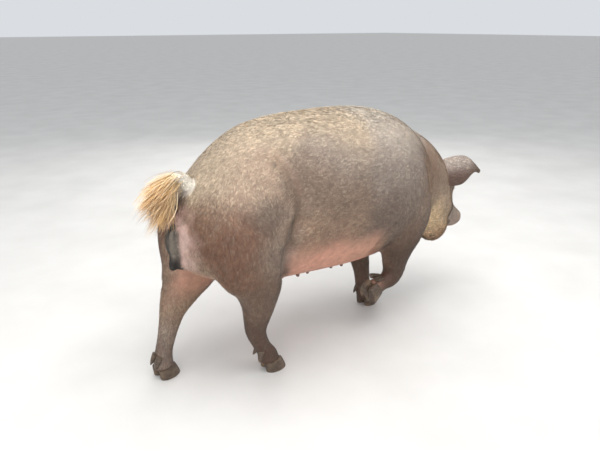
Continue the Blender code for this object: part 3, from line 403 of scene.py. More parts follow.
def circle(count):
    return [2 * math.pi * k / count for k in range(count)]


def as_rows(vectors):
    return np.array([tuple(v) for v in vectors])


def new_collection(name):
    made = bpy.data.collections.new(name)
    SCENE.collection.children.link(made)
    return made


def add_mesh(name, points, faces, collection):
    mesh = bpy.data.meshes.new(name)
    mesh.from_pydata([tuple(p) for p in points], [], faces)
    made = bpy.data.objects.new(name, mesh)
    collection.objects.link(made)
    return made


def written(work, name, collection):
    """A new object from the mesh that was worked on."""
    made = add_mesh(name, [], [], collection)
    work.to_mesh(made.data)
    work.free()
    return made


def facing_out(made):
    work = bmesh.new()
    work.from_mesh(made.data)
    bmesh.ops.recalc_face_normals(work, faces=work.faces)
    work.to_mesh(made.data)
    work.free()
    return made


def loft(name, rings, collection):
    count = len(rings[0])
    points = [p for ring in rings for p in ring]
    faces = [tuple(reversed(range(count)))]
    for r in range(len(rings) - 1):
        for i in range(count):
            j = (i + 1) % count
            faces.append((r * count + i, r * count + j, (r + 1) * count + j, (r + 1) * count + i))
    faces.append(tuple((len(rings) - 1) * count + i for i in range(count)))
    return facing_out(add_mesh(name, points, faces, collection))


def profile_ring(x, top, bottom, half_width, widest, upper_power=HEAD_POWER, lower_power=HEAD_POWER):
    ring = []
    for angle in circle(RING_POINTS):
        above = math.sin(angle) >= 0
        power = upper_power if above else lower_power
        reach = (top - widest) if above else (widest - bottom)
        y = half_width * rounded(math.cos(angle), power)
        ring.append(Vector((x, y, widest + reach * rounded(math.sin(angle), power))))
    return ring


def tube(name, stations, collection, points=48):
    rows = smooth_rows(stations, 6)
    rings = []
    angles = circle(points)
    for i, row in enumerate(rows):
        ahead = rows[min(i + 1, len(rows) - 1)][:3] - rows[max(i - 1, 0)][:3]
        along = Vector(ahead).normalized()
        across = (Vector((0, 1, 0)) - along * along.y).normalized()
        depth = along.cross(across)
        middle = Vector(row[:3])
        rings.append(
            [middle + depth * (row[3] * math.cos(a)) + across * (row[-1] * math.sin(a)) for a in angles]
        )
    return loft(name, rings, collection)


def ball(name, at, radii, collection, segments=32):
    work = bmesh.new()
    bmesh.ops.create_uvsphere(work, u_segments=segments, v_segments=segments * 2 // 3, radius=1.0)
    place = Matrix.Translation(Vector(at)) @ Matrix.Diagonal((*radii, 1.0))
    bmesh.ops.transform(work, matrix=place, verts=work.verts)
    return written(work, name, collection)


def mirrored(point, side):
    return Vector((point.x, point.y * side, point.z))


def head_place():
    level = Matrix.Translation(HEAD_AT) @ Matrix.Rotation(HEAD_YAW, 4, "Z")
    return level @ Matrix.Rotation(HEAD_PITCH, 4, "Y")


def foot_place(limb):
    at, yaw, pitch = FEET[limb]
    turn = Matrix.Rotation(math.radians(yaw), 4, "Z") @ Matrix.Rotation(math.radians(pitch), 4, "Y")
    return Matrix.Translation(Vector(at)) @ turn


def eye_frame(side):
    """+Z out of the eye, +X along the slit of the lids."""
    aim = mirrored(EYE_AIM, side).normalized()
    along = Vector((1.0, 0.0, -0.12))
    along = (along - aim * along.dot(aim)).normalized()
    up = aim.cross(along)
    turn = Matrix((along, up, aim)).transposed().to_4x4()
    return head_place() @ Matrix.Translation(mirrored(EYE_AT, side)) @ turn


def applied(made):
    graph = bpy.context.evaluated_depsgraph_get()
    mesh = bpy.data.meshes.new_from_object(made.evaluated_get(graph))
    made.modifiers.clear()
    old = made.data
    made.data = mesh
    bpy.data.meshes.remove(old)
    return made


def boolean(made, other, operation, solver="MANIFOLD"):
    change = made.modifiers.new(operation.lower(), "BOOLEAN")
    change.operation = operation
    change.solver = solver
    change.object = other
    return applied(made)


def flesh_mesh(pieces, target):
    """The masses of the body, fused and blended into one surface."""
    rows = smooth_rows(TRUNK, 4)
    loft("trunk", [profile_ring(*row, TRUNK_LOWER_POWER) for row in rows], pieces)
    tube("neck", NECK, pieces, RING_POINTS)
    head = loft("head", [profile_ring(*row) for row in smooth_rows(HEAD, 4)], pieces)
    head.data.transform(head_place())
    ball("disc", SNOUT_DISC_AT, SNOUT_DISC_RADII, pieces).data.transform(head_place())
    for name, (at, radii) in HEAD_MASSES.items():
        for side in (1, -1):
            ball(name, mirrored(at, side), radii, pieces).data.transform(head_place())
    for name, stations in LIMBS.items():
        tube(name, stations, pieces)
    for at, radii in VULVA:
        ball("vulva", at, radii, pieces)
    work = bmesh.new()
    for piece in pieces.objects:
        work.from_mesh(piece.data)
    made = written(work, "sow_skin", target)
    for piece in list(pieces.objects):
        bpy.data.objects.remove(piece, do_unlink=True)
    remesh = made.modifiers.new("fuse", "REMESH")
    remesh.mode = "VOXEL"
    remesh.voxel_size = FLESH_VOXEL
    blend = made.modifiers.new("blend", "SMOOTH")
    blend.factor = 0.5
    blend.iterations = BLEND_PASSES
    return applied(made)


def co_of(mesh):
    flat = np.empty(len(mesh.vertices) * 3)
    mesh.vertices.foreach_get("co", flat)
    return flat.reshape(-1, 3)


def normals_of(mesh):
    flat = np.empty(len(mesh.vertices) * 3)
    mesh.vertex_normals.foreach_get("vector", flat)
    return flat.reshape(-1, 3)


def size_of(rows):
    return np.linalg.norm(rows, axis=1)


def gap_from(points, spot):
    return size_of(points - np.array(spot))


def set_co(mesh, points):
    mesh.vertices.foreach_set("co", points.ravel())
    mesh.update()


HEAD_TURN = np.array(head_place().to_3x3())


def to_head(points):
    return (points - np.array(HEAD_AT)) @ HEAD_TURN


def refined(made, chosen):
    """Halves the mesh size where both ends of an edge are chosen."""
    work = bmesh.new()
    work.from_mesh(made.data)
    edges = [e for e in work.edges if chosen[e.verts[0].index] and chosen[e.verts[1].index]]
    bmesh.ops.subdivide_edges(work, edges=edges, cuts=1, use_grid_fill=True)
    work.to_mesh(made.data)
    work.free()
    return made


def distance_from(points, path):
    """How far each point is from a path of straight pieces."""
    best = np.full(len(points), np.inf)
    for start, end in zip(path[:-1], path[1:]):
        along = end - start
        share = np.clip((points - start) @ along / (along @ along), 0.0, 1.0)
        best = np.minimum(best, size_of(points - start - share[:, None] * along))
    return best


def pressed(flesh, lines):
    """Raises a ridge, or presses a groove where the height is below zero, along each line."""
    points = co_of(flesh.data)
    normals = normals_of(flesh.data)
    move = np.zeros(len(points))
    for height, half_width, line in lines:
        path = np.array([flesh.closest_point_on_mesh(Vector(p))[1] for p in smooth_rows(line, 5)])
        low, high = path.min(axis=0) - half_width * 3, path.max(axis=0) + half_width * 3
        near = np.flatnonzero(np.all((points > low) & (points < high), axis=1))
        move[near] += height * np.exp(-((distance_from(points[near], path) / half_width) ** 2))
    set_co(flesh.data, points + normals * move[:, None])


def body_lines():
    lines = list(BODY_LINES)
    for height, half_width, points in PAIRED_LINES:
        for side in (1, -1):
            lines.append((height, half_width, [(x, y * side, z) for x, y, z in points]))
    return lines


def head_lines():
    lines = list(HEAD_LINES)
    lips = np.array(MOUTH)
    for offset in (LIP_OFFSET, -LIP_OFFSET):
        lines.append((*LIP, lips + np.array((0.0, 0.0, offset))))
    placed = []
    for side in (1, -1):
        for height, half_width, points in lines:
            placed.append((height, half_width, [head_place() @ mirrored(Vector(p), side) for p in points]))
        for start, end, height, half_width, long, tall in EYE_FOLDS:
            arc = [math.radians(a) for a in np.linspace(start, end, 9)]
            fold = [Vector((long * math.cos(a), tall * math.sin(a), EYE_RADIUS)) for a in arc]
            placed.append((height, half_width, [eye_frame(side) @ p for p in fold]))
    for share, height, half_width in ((1.0, 0.0038, 0.0055), (0.80, -0.0012, 0.0045)):
        rim = []
        for angle in np.linspace(0, 2 * math.pi, 33):
            across = SNOUT_RIM_RADII[0] * share * math.cos(angle)
            up = SNOUT_RIM_RADII[1] * share * math.sin(angle)
            rim.append(head_place() @ Vector((SNOUT_RIM_AT + 0.006 * (1 - share) * 5, across, up)))
        placed.append((height, half_width, rim))
    return placed


def mouth_cutter(flesh, cutters):
    left = [Vector(row) for row in smooth_rows(MOUTH, 5)]
    line = [mirrored(p, -1) for p in reversed(left)] + left[1:]
    turn = head_place().to_3x3()
    up = turn @ Vector((0, 0, 1)) * MOUTH_HALF_HEIGHT
    rings = []
    for i, place in enumerate(line):
        share = abs(2 * i / (len(line) - 1) - 1)
        taper = 1 - share**6 * 0.85
        middle = Vector((min(place.x, MOUTH_MIDDLE_X), 0.0, place.z))
        out = (turn @ (place - middle)).normalized()
        at = flesh.closest_point_on_mesh(head_place() @ place)[1]
        outer = at + out * MOUTH_OUT
        inner = at - out * (MOUTH_DEPTH * taper)
        rings.append([outer + up * 2, outer - up * 2, inner - up * 0.3, inner + up * 0.3])
    return loft("mouth", rings, cutters)


def lid_slit(side, cutters):
    rings = []
    for depth, share in ((0.004, 1.0), (0.030, 1.25)):
        ring = []
        for angle in circle(40):
            x = LID_HALF_LENGTH * share * math.cos(angle)
            y = LID_HALF_HEIGHT * share * math.sin(angle) * abs(math.sin(angle)) ** 0.5
            ring.append(eye_frame(side) @ Vector((x, y, depth)))
        rings.append(ring)
    return loft("slit", rings, cutters)


def ear_frame(side):
    root = head_place() @ mirrored(EAR_ROOT, side)
    level = Matrix.Rotation(HEAD_YAW, 3, "Z")
    aim = (level @ mirrored(EAR_AIM, side)).normalized()
    down = level @ mirrored(EAR_DOWN, side)
    down = (down - aim * down.dot(aim)).normalized()
    out = aim.cross(down) * side
    if out.z < 0:
        out = -out
    return root, aim, down, out


def ear(side, collection):
    """A cupped ear with a thin rim: its mid surface, thickened by a share that falls to the edge."""
    root, aim, down, out = ear_frame(side)
    shape = smooth_rows(list(zip(EAR_WIDTHS, EAR_WRAPS)), 16)
    grid = np.zeros((EAR_STEPS + 1, EAR_ACROSS + 1, 3))
    for i in range(EAR_STEPS + 1):
        share = i / EAR_STEPS
        at = share * (len(shape) - 1)
        width, wrap = shape[min(int(round(at)), len(shape) - 1)]
        bend = math.radians(wrap)
        radius = width / bend
        along = EAR_LENGTH * (share * (1 + EAR_SUNK) - EAR_SUNK)
        for j in range(EAR_ACROSS + 1):
            turn = bend * (j / EAR_ACROSS - 0.5)
            edge = abs(j / EAR_ACROSS - 0.5) * 2
            ripple = 0.0022 * math.sin(share * 17.0 + side) * edge**4 * share
            place = root + aim * (along - EAR_SWEEP * edge**2 * share)
            place += down * (radius * math.sin(turn)) - out * (radius * (1 - math.cos(turn)) - ripple)
            place -= down * (EAR_RISE[0] * math.sin(math.pi * share ** EAR_RISE[1]))
            place.z -= EAR_DROOP * max(share, 0.0) ** 2
            grid[i, j] = place
    slope_i = np.gradient(grid, axis=0)
    slope_j = np.gradient(grid, axis=1)
    normal = np.cross(slope_i, slope_j)
    normal /= np.linalg.norm(normal, axis=2)[:, :, None] + 1e-12
    share = np.linspace(0, 1, EAR_STEPS + 1)[:, None]
    edge = np.abs(np.linspace(-1, 1, EAR_ACROSS + 1))[None, :]
    thick = EAR_THICK_ROOT * (1 - share) + EAR_THICK_TIP * share
    rim = np.sqrt(np.clip(1 - (edge * 0.985) ** 10, 0, 1)) * np.sqrt(np.clip(1 - (share * 0.995) ** 40, 0, 1))
    vein = 0.0006 * np.cos(edge * 9 + share * 4) * np.clip(share * 4, 0, 1) * (1 - share)
    half = thick * rim * 0.5 + vein * rim
    top = (grid + normal * half[:, :, None]).reshape(-1, 3)
    under = (grid - normal * half[:, :, None]).reshape(-1, 3)
    row = EAR_ACROSS + 1
    total = len(top)
    faces = []
    for i in range(EAR_STEPS):
        for j in range(EAR_ACROSS):
            a, b, c, d = i * row + j, i * row + j + 1, (i + 1) * row + j + 1, (i + 1) * row + j
            faces.append((a, b, c, d))
            faces.append((total + d, total + c, total + b, total + a))
    for i in range(EAR_STEPS):
        for j in (0, EAR_ACROSS):
            a, d = i * row + j, (i + 1) * row + j
            faces.append((a, d, total + d, total + a))
    for j in range(EAR_ACROSS):
        for i in (0, EAR_STEPS):
            a, b = i * row + j, i * row + j + 1
            faces.append((a, b, total + b, total + a))
    made = facing_out(add_mesh("ear", np.vstack([top, under]), faces, collection))
    return made, grid.reshape(-1, 3)


def teat_place(side, i):
    x = TEAT_FIRST_X + TEAT_STEP * i + 0.006 * math.sin(i * 2.1 + side)
    return x, side * (TEAT_HALF_GAP + 0.004 * math.cos(i * 1.3 + side))


def teat_mesh(flesh, collection):
    """All the teats as one mesh of short rounded pegs on soft bases."""
    work = bmesh.new()
    for side in (1, -1):
        for i in range(TEAT_PAIRS):
            start = Vector((*teat_place(side, i), 0.0))
            found, at, normal, _ = flesh.ray_cast(start, Vector((0, 0, 1)))
            if not found:
                continue
            stray = Vector((math.sin(i * 2.3 + side), math.cos(i * 1.7), 0.0)) * 0.16
            aim = (normal + Vector((0, 0, -0.6)) + stray).normalized()
            place = Matrix.Translation(at) @ aim.to_track_quat("Z", "Y").to_matrix().to_4x4()
            size = 0.86 + 0.20 * math.sin(i * 1.9 + side * 0.8)
            rings = []
            for z, radius in TEAT_PROFILE:
                z, radius = z * size, radius * size
                spots = [Vector((radius * math.cos(a), radius * math.sin(a), z)) for a in circle(16)]
                rings.append([work.verts.new(place @ spot) for spot in spots])
            for low, high in zip(rings[:-1], rings[1:]):
                for k in range(len(low)):
                    j = (k + 1) % len(low)
                    work.faces.new((low[k], low[j], high[j], high[k]))
            work.faces.new(tuple(reversed(rings[0])))
            work.faces.new(tuple(rings[-1]))
    return facing_out(written(work, "teats", collection))


def teat_gaps(points):
    """How far each point lies from each teat, seen from below."""
    for side in (1, -1):
        for i in range(TEAT_PAIRS):
            x, y = teat_place(side, i)
            yield np.hypot(points[:, 0] - x, points[:, 1] - y)


def relaxed(mesh, weight, passes):
    """Each vertex moves towards the mean of its neighbours, by its own weight."""
    points = co_of(mesh)
    edges = np.empty(len(mesh.edges) * 2, np.int64)
    mesh.edges.foreach_get("vertices", edges)
    edges = edges.reshape(-1, 2)
    live = weight > 1e-3
    edges = edges[live[edges[:, 0]] | live[edges[:, 1]]]
    start, end = np.vstack([edges, edges[:, ::-1]]).T
    count = np.maximum(np.bincount(start, minlength=len(points)), 1)
    for _ in range(passes):
        sums = [np.bincount(start, weights=points[end, k], minlength=len(points)) for k in range(3)]
        mean = np.stack(sums, axis=1) / count[:, None]
        points = np.where(live[:, None], points + (mean - points) * (0.6 * weight[:, None]), points)
    set_co(mesh, points)


def smoothstep(low, high, value):
    share = np.clip((value - low) / (high - low), 0.0, 1.0)
    return share * share * (3 - 2 * share)


def faded(low, high, value):
    """One up to the low value, and nothing from the high one on."""
    return 1 - smoothstep(low, high, value)


def blend(first, second, share):
    """From the first to the second, with one share for each row."""
    share = share[:, None]
    return first * (1 - share) + second * share


def build_skin():
    """The one skin, with ears, tail and teats grown into it."""
    pieces = new_collection("pieces")
    cutters = new_collection("cutters")
    shown = new_collection("shown")
    flesh = flesh_mesh(pieces, shown)
    refined(flesh, to_head(co_of(flesh.data))[:, 0] > 0.05)
    points = co_of(flesh.data)
    fine = to_head(points)[:, 0] > 0.235
    for side in (1, -1):
        fine |= gap_from(points, eye_frame(side).translation) < 0.042
    refined(flesh, fine)
    pressed(flesh, body_lines())
    pressed(flesh, head_lines())

    # The skin lies a little under the surface of the solids, to leave room for the coat.
    points = co_of(flesh.data)
    along_head = to_head(points)[:, 0]
    depth = 0.0050 - 0.0034 * smoothstep(0.02, 0.16, along_head) - 0.0012 * smoothstep(0.28, 0.34, along_head)
    depth -= 0.0022 * faded(0.10, 0.30, points[:, 2])
    points -= normals_of(flesh.data) * np.clip(depth, 0.0004, 1)[:, None]
    for side in (1, -1):
        centre = np.array(eye_frame(side).translation)
        away = points - centre
        reach = size_of(away)
        inside = reach < LID_BULGE
        points[inside] = centre + away[inside] / reach[inside][:, None] * LID_BULGE
    set_co(flesh.data, points)

    boolean(flesh, mouth_cutter(flesh, cutters), "DIFFERENCE")
    for side in (1, -1):
        nostril = ball("nostril", (0, 0, 0), NOSTRIL_RADII, cutters, 28)
        turn = Matrix.Rotation(math.radians(NOSTRIL_TURN) * side, 4, "X")
        nostril.data.transform(head_place() @ Matrix.Translation(mirrored(NOSTRIL_AT, side)) @ turn)
        boolean(flesh, nostril, "DIFFERENCE")
        socket = ball("socket", (0, 0, 0), (EYE_RADIUS + 0.0002,) * 3, cutters, 32)
        socket.data.transform(eye_frame(side))
        boolean(socket, lid_slit(side, cutters), "UNION", "EXACT")
        boolean(flesh, socket, "DIFFERENCE")

    ears = {}
    for side in (1, -1):
        made, grid = ear(side, cutters)
        ears[side] = grid
        boolean(flesh, made, "UNION")
    boolean(flesh, tube("tail", TAIL, cutters, 40), "UNION")
    boolean(flesh, teat_mesh(flesh, cutters), "UNION")
    for old in list(cutters.objects):
        bpy.data.objects.remove(old, do_unlink=True)

    points = co_of(flesh.data)
    tail_path = smooth_rows(np.array(TAIL)[:, :3], 4)
    weight = faded(0.030, 0.052, distance_from(points, tail_path[:14])) * (points[:, 0] > -0.012)
    for side in (1, -1):
        root, aim, _, _ = ear_frame(side)
        away = points - np.array(root)
        along = away @ np.array(aim)
        off = size_of(away - along[:, None] * np.array(aim))
        weight = np.maximum(weight, faded(0.020, 0.045, np.abs(along)) * faded(0.07, 0.10, off))
    belly = (points[:, 2] < 0.33) & (points[:, 2] > 0.265) & (np.abs(points[:, 1]) < 0.10)
    belly &= (points[:, 0] > 0.29) & (points[:, 0] < 0.66)
    weight = np.maximum(weight, belly * 0.35)
    relaxed(flesh.data, weight, 6)
    return flesh, ears


skin, ear_grids = build_skin()


# The lie, length and tones of the coat.

DRAW = np.random.default_rng(SEED)
TABLE_SIZE = 8192
TABLE = np.random.default_rng(SEED + 1).random(TABLE_SIZE)
# Large primes that spread the cells of space over the table.
CELL_PRIMES = (73856093, 19349663, 83492791)
LATTICE_SALT = 7919
CELL_SALT = 104729


def table_value(i, j, k, salt):
    """The random value of one cell of space."""
    key = i * CELL_PRIMES[0] ^ j * CELL_PRIMES[1] ^ k * CELL_PRIMES[2]
    return TABLE[(key + salt) & (TABLE_SIZE - 1)]


def lattice(points, scale, salt=0):
    """Smooth random values between 0 and 1, about `scale` features to a metre."""
    at = points * scale
    low = np.floor(at).astype(np.int64)
    part = at - low
    part = part * part * (3 - 2 * part)
    total = np.zeros(len(points))
    for step in itertools.product((0, 1), repeat=3):
        value = table_value(*(low + step).T, salt * LATTICE_SALT)
        first, second, third = np.where(step, part, 1 - part).T
        total += value * (first * second) * third
    return total


def cell_values(points, size, salt=0):
    """One random value for each small cube of space, for hairs that stick together."""
    return table_value(*np.floor(points / size).astype(np.int64).T, salt * CELL_SALT)


# The few tones of the coat, and where each grows: x, distance from the middle, z, reach.
COAT_TONES = {
    "cream of the back and rump": (
        (212, 193, 167),
        (
            (0.10, 0.00, 0.80, 0.10), (0.30, 0.00, 0.87, 0.11), (0.50, 0.00, 0.87, 0.12),
            (0.02, 0.06, 0.72, 0.10), (0.50, 0.16, 0.80, 0.09),
        ),
    ),
    "pale hair over the shoulders": (
        (214, 204, 190),
        ((0.70, 0.00, 0.87, 0.12), (0.84, 0.00, 0.82, 0.12), (0.72, 0.19, 0.77, 0.09)),
    ),
    "fawn of the hip, cheeks and brow": (
        (192, 168, 145),
        (
            (0.10, 0.15, 0.70, 0.09), (1.00, 0.14, 0.50, 0.08), (1.03, 0.03, 0.62, 0.08),
            (1.12, 0.06, 0.54, 0.07), (1.10, 0.13, 0.44, 0.06),
        ),
    ),
    "tan of the low flank, neck and inner thighs": (
        (163, 136, 113),
        (
            (0.36, 0.25, 0.50, 0.08), (0.46, 0.25, 0.48, 0.08), (0.58, 0.22, 0.42, 0.05),
            (0.92, 0.18, 0.58, 0.09), (0.78, 0.06, 0.33, 0.07), (0.04, 0.05, 0.36, 0.07),
            (0.00, 0.09, 0.42, 0.05), (-0.03, 0.11, 0.25, 0.08), (-0.01, 0.14, 0.64, 0.06),
        ),
    ),
    "rust of the ham": (
        (128, 92, 70),
        (
            (-0.02, 0.11, 0.60, 0.06), (0.05, 0.20, 0.56, 0.08), (0.02, 0.20, 0.47, 0.08),
            (0.07, 0.22, 0.42, 0.08),
        ),
    ),
    "smoke of the haunch and elbow": (
        (127, 113, 101),
        (
            (0.14, 0.21, 0.60, 0.05), (0.60, 0.25, 0.50, 0.07), (0.68, 0.25, 0.55, 0.08),
            (-0.09, 0.07, 0.07, 0.06),
        ),
    ),
    "silver of the stifle, foreleg and muzzle": (
        (147, 132, 118),
        (
            (0.15, 0.23, 0.46, 0.07), (0.80, 0.22, 0.52, 0.09), (1.24, 0.05, 0.34, 0.07),
            (-0.06, 0.09, 0.15, 0.05),
        ),
    ),
    # The coat's own grey of the flank; its first two spots lie in the hollow in front of the thigh, where the
    # darker tone is also painted shade.
    "ash of the flank, with painted shade in the hollow before the thigh": (
        (147, 128, 111),
        (
            (0.27, 0.23, 0.66, 0.05), (0.22, 0.24, 0.54, 0.04), (0.36, 0.23, 0.68, 0.08),
            (0.45, 0.26, 0.60, 0.10),
        ),
    ),
    "frost of the side and shoulder": (
        (165, 154, 143),
        ((0.45, 0.21, 0.74, 0.09), (0.66, 0.24, 0.66, 0.10), (0.76, 0.24, 0.66, 0.10)),
    ),
    "bark of the upper legs": (
        (117, 96, 80),
        ((0.13, 0.22, 0.34, 0.07), (0.80, 0.22, 0.42, 0.08), (0.16, 0.14, 0.28, 0.06)),
    ),
    "umber of the lower legs": (
        (84, 68, 55),
        (
            (0.80, 0.18, 0.33, 0.07), (0.80, 0.12, 0.24, 0.06), (0.80, 0.08, 0.12, 0.07),
            (0.16, 0.12, 0.18, 0.07), (0.20, 0.11, 0.07, 0.06),
        ),
    ),
    "rose of the belly": (
        (200, 153, 132),
        (
            (0.40, 0.22, 0.41, 0.08), (0.45, 0.08, 0.28, 0.07), (0.32, 0.08, 0.30, 0.07),
            (0.62, 0.08, 0.28, 0.08),
        ),
    ),
    "gold of the jowl": (
        (252, 222, 176),
        ((1.03, 0.14, 0.40, 0.08),),
    ),
    "amber of the throat": (
        (188, 148, 112),
        ((1.06, 0.12, 0.30, 0.06), (1.02, 0.02, 0.28, 0.06)),
    ),
}
PINK = tone(204, 142, 120)
MAUVE = tone(194, 166, 156)
VULVA_TONE = tone(102, 94, 84)
VULVA_TIP = tone(54, 46, 41)
# Painted shadow under and beside the root of the tail, laid over the brownish skin round the anus.
TAIL_SHADOW_TONE = tone(92, 72, 58)
TAIL_SHADOW_AT = (-0.048, 0.0, 0.600)
TAIL_SHADOW_RADII = (0.060, 0.058, 0.062)
SNOUT_TONE = tone(154, 132, 118)
SNOUT_DARK = tone(84, 74, 68)
CREAM = tone(228, 212, 186)
DARK_HAIR = tone(58, 48, 42)
CURL_TONE = tone(255, 250, 236)
# Painted shade on the inner side of the tail's curl, where it faces the rump.
TAIL_CURL_SHADE_TONE = tone(158, 122, 90)
SWITCH_GOLD = tone(252, 216, 156)
SWITCH_CREAM = tone(255, 242, 214)
SWITCH_DEEP = tone(226, 168, 108)
EAR_TOP = tone(180, 168, 158)
# Painted shade on the part of each ear that hangs below its root.
EAR_SHADE_TONE = tone(104, 84, 74)
EAR_INNER = tone(150, 118, 106)
EAR_TIP = tone(84, 72, 62)
TEAT_TONE = tone(118, 88, 80)
IRIS_TONE = tone(74, 46, 28)
EYE_WHITE = tone(176, 150, 136)
PUPIL_LEVEL = 0.003
BRISTLE_LOW = tone(150, 128, 104)
BRISTLE_TIP = tone(216, 198, 170)
HORN_TONE = tone(44, 36, 31)
HORN_BAND = tone(104, 86, 70)
HORN_DUST = tone(128, 108, 86)
TAIL_PATH = smooth_rows(np.array(TAIL), 6)
PATCHES = [(np.array(spot), tone(*colour)) for colour, spots in COAT_TONES.values() for spot in spots]


def nearest_on_tail(points):
    away = points[:, None, :] - TAIL_PATH[None, :, :3]
    gap = np.linalg.norm(away, axis=2)
    which = np.argmin(gap, axis=1)
    return gap[np.arange(len(points)), which] / TAIL_PATH[which, 3], which / (len(TAIL_PATH) - 1), which


def ear_share(points, side):
    """Which points belong to an ear, and how far towards its tip they are."""
    root, aim, _, _ = ear_frame(side)
    share = (points - np.array(root)) @ np.array(aim) / EAR_LENGTH
    low, high = ear_grids[side].min(axis=0) - 0.012, ear_grids[side].max(axis=0) + 0.012
    inside = np.all((points > low) & (points < high), axis=1)
    near = np.zeros(len(points))
    near[inside] = [EAR_TREES[side].find(p)[2] < EAR_NEAR for p in points[inside]]
    return near * smoothstep(0.02, 0.10, share), share


def ear_tree(grid):
    tree = KDTree(len(grid))
    for i, p in enumerate(grid):
        tree.insert(p, i)
    tree.balance()
    return tree


EAR_NEAR = 0.0075
EAR_TREES = {side: ear_tree(grid) for side, grid in ear_grids.items()}
LIMB_PATHS = [smooth_rows(rows, 4) for rows in LIMBS.values()]


def near_limbs(points, start):
    """Which points lie on the legs, from a share of their length down."""
    share = np.zeros(len(points))
    for path in LIMB_PATHS:
        path = path[int(start * len(path)) :]
        low, high = path[:, :3].min(axis=0) - 0.12, path[:, :3].max(axis=0) + 0.12
        inside = np.flatnonzero(np.all((points > low) & (points < high), axis=1))
        for i in np.array_split(inside, 8):
            gap = np.linalg.norm(points[i, None, :] - path[None, :, :3], axis=2)
            gap = (gap / path[None, :, 3:].mean(axis=2)).min(axis=1)
            share[i] = np.maximum(share[i], faded(1.10, 1.50, gap))
    return share


ANUS_AT = (-0.052, 0.0, 0.605)
# Half width of the vulva at heights from its tip up.
VULVA_HEIGHTS = (0.380, 0.400, 0.430, 0.465, 0.505, 0.535, 0.556)
VULVA_HALVES = (0.004, 0.012, 0.020, 0.030, 0.037, 0.032, 0.012)
VULVA_SLIT = ((-0.080, -0.003, 0.545), (-0.090, -0.012, 0.50), (-0.082, -0.004, 0.435))
VULVA_FOLD_STEP = 0.0115
VULVA_RIM_Z = 0.458


def rear_masks(points):
    """The vulva, the bare skin on both sides of it, and the anus."""
    x, y, z = points.T
    ragged = 0.006 * (lattice(points, 90.0, 43) - 0.5)
    half = np.interp(z + ragged, VULVA_HEIGHTS, VULVA_HALVES)
    vulva = faded(0.55, 1.30, np.abs(y + 0.002) / half) * faded(-0.040, -0.010, x) * (z > 0.376) * (z < 0.562)
    wide = np.hypot(y / 0.108, (z - 0.505) / 0.112) + 0.5 * (lattice(points, 38.0, 45) - 0.5)
    strip = faded(0.40, 1.15, wide) * faded(-0.030, 0.010, x) * 0.85
    return vulva, strip, faded(0.010, 0.026, gap_from(points, ANUS_AT))


def on_head(low, high, points):
    """How far along the head the points are, as a share from the low to the high distance."""
    return smoothstep(low, high, to_head(points)[:, 0])


def snout_disc(points):
    return on_head(0.343, 0.352, points) * (points[:, 0] > SNOUT_FROM_X)


def markings(points, normals):
    """The tone of the coat, with painted shade under the root of the tail, in its curl, on the low part of each
    ear and in the hollow before the thigh; how bare the skin is; and masks for the tail and the ears.
    """
    x, y, z = points.T
    from_middle = np.abs(y)
    folded = np.column_stack([x, from_middle, z])
    total = np.zeros((len(points), 3))
    weight = np.full(len(points), 1e-9)
    for spot, patch_tone in PATCHES:
        gap = np.sum((folded - spot[:3]) ** 2, axis=1)
        share = np.exp(-gap / (spot[3] * 0.85) ** 2) + 1e-7 / (1e-3 + gap)
        total += share[:, None] * patch_tone
        weight += share
    mottle = lattice(points, 22.0, 3) * 0.6 + lattice(points, 55.0, 4) * 0.4
    colour = total / weight[:, None] * (0.82 + 0.36 * mottle)[:, None]

    off_legs = 1 - near_limbs(points, 0.30)
    edge = 0.452 + 0.035 * (lattice(points, 14.0, 41) - 0.5)
    belly = faded(-0.040, 0.050, z - edge) * (smoothstep(0.205, 0.250, x) * faded(0.58, 0.68, x)) * off_legs
    under = faded(0.30, 0.36, z) * smoothstep(0.16, 0.26, x)
    under *= faded(0.74, 0.84, x) * faded(0.10, 0.17, from_middle)
    groin = faded(0.37, 0.45, z) * faded(0.07, 0.12, from_middle)
    groin *= faded(0.20, 0.30, x) * smoothstep(0.22, 0.32, z)
    vulva, strip, anus = rear_masks(points)
    muzzle = on_head(0.26, 0.34, points) * (x > SNOUT_FROM_X)
    centres = [eye_frame(side).translation for side in (1, -1)]
    eyes = np.maximum(*[faded(0.016, 0.027, gap_from(points, centre)) for centre in centres])
    teats = [(z < 0.30) * faded(0.012, 0.020, gap) for gap in teat_gaps(points)]
    bare = [0.84 * np.maximum(belly, under * off_legs), 0.70 * groin, 0.97 * vulva, 0.86 * strip, anus]
    bare = np.maximum.reduce([*bare, snout_disc(points), 0.45 * muzzle, 0.95 * eyes, *teats])
    colour = blend(colour, MAUVE, strip)
    # The root of the tail casts a painted shadow on the rump below and beside it, over the brownish skin round
    # the anus.
    tail_shadow = size_of((points - np.array(TAIL_SHADOW_AT)) / np.array(TAIL_SHADOW_RADII))
    colour = blend(colour, TAIL_SHADOW_TONE, 0.85 * faded(0.55, 1.15, tail_shadow))
    colour = colour * (1 - 0.45 * eyes)[:, None]

    off, along_tail, _ = nearest_on_tail(points)
    tail = faded(1.15, 1.5, off) * (x < 0.03) * smoothstep(0.05, 0.22, along_tail)
    # From midway along the tail, the inner side of the curl gets painted shade.
    curl_shade = smoothstep(0.40, 0.54, along_tail) * smoothstep(-0.3, 0.6, normals[:, 0])
    colour = blend(colour, blend(CURL_TONE, TAIL_CURL_SHADE_TONE, curl_shade), tail)
    bare = bare * (1 - tail)

    ears = np.zeros(len(points))
    for side in (1, -1):
        root, _, _, out = ear_frame(side)
        near, share = ear_share(points, side)
        ears = np.maximum(ears, near)
        outer = smoothstep(-0.2, 0.4, normals @ np.array(out))
        shade = blend(EAR_INNER, EAR_TOP, outer)
        # Painted shade: the ear darkens below the height of its root.
        shade = blend(shade, EAR_SHADE_TONE, smoothstep(-0.030, 0.030, root.z - z))
        shade = blend(shade, EAR_TIP, smoothstep(0.70, 0.98, share))
        colour = blend(colour, shade, near)
        bare = np.maximum(bare * (1 - near), near * (0.55 * (1 - outer) + 0.10))
    return colour, np.clip(bare, 0, 1), tail, ears


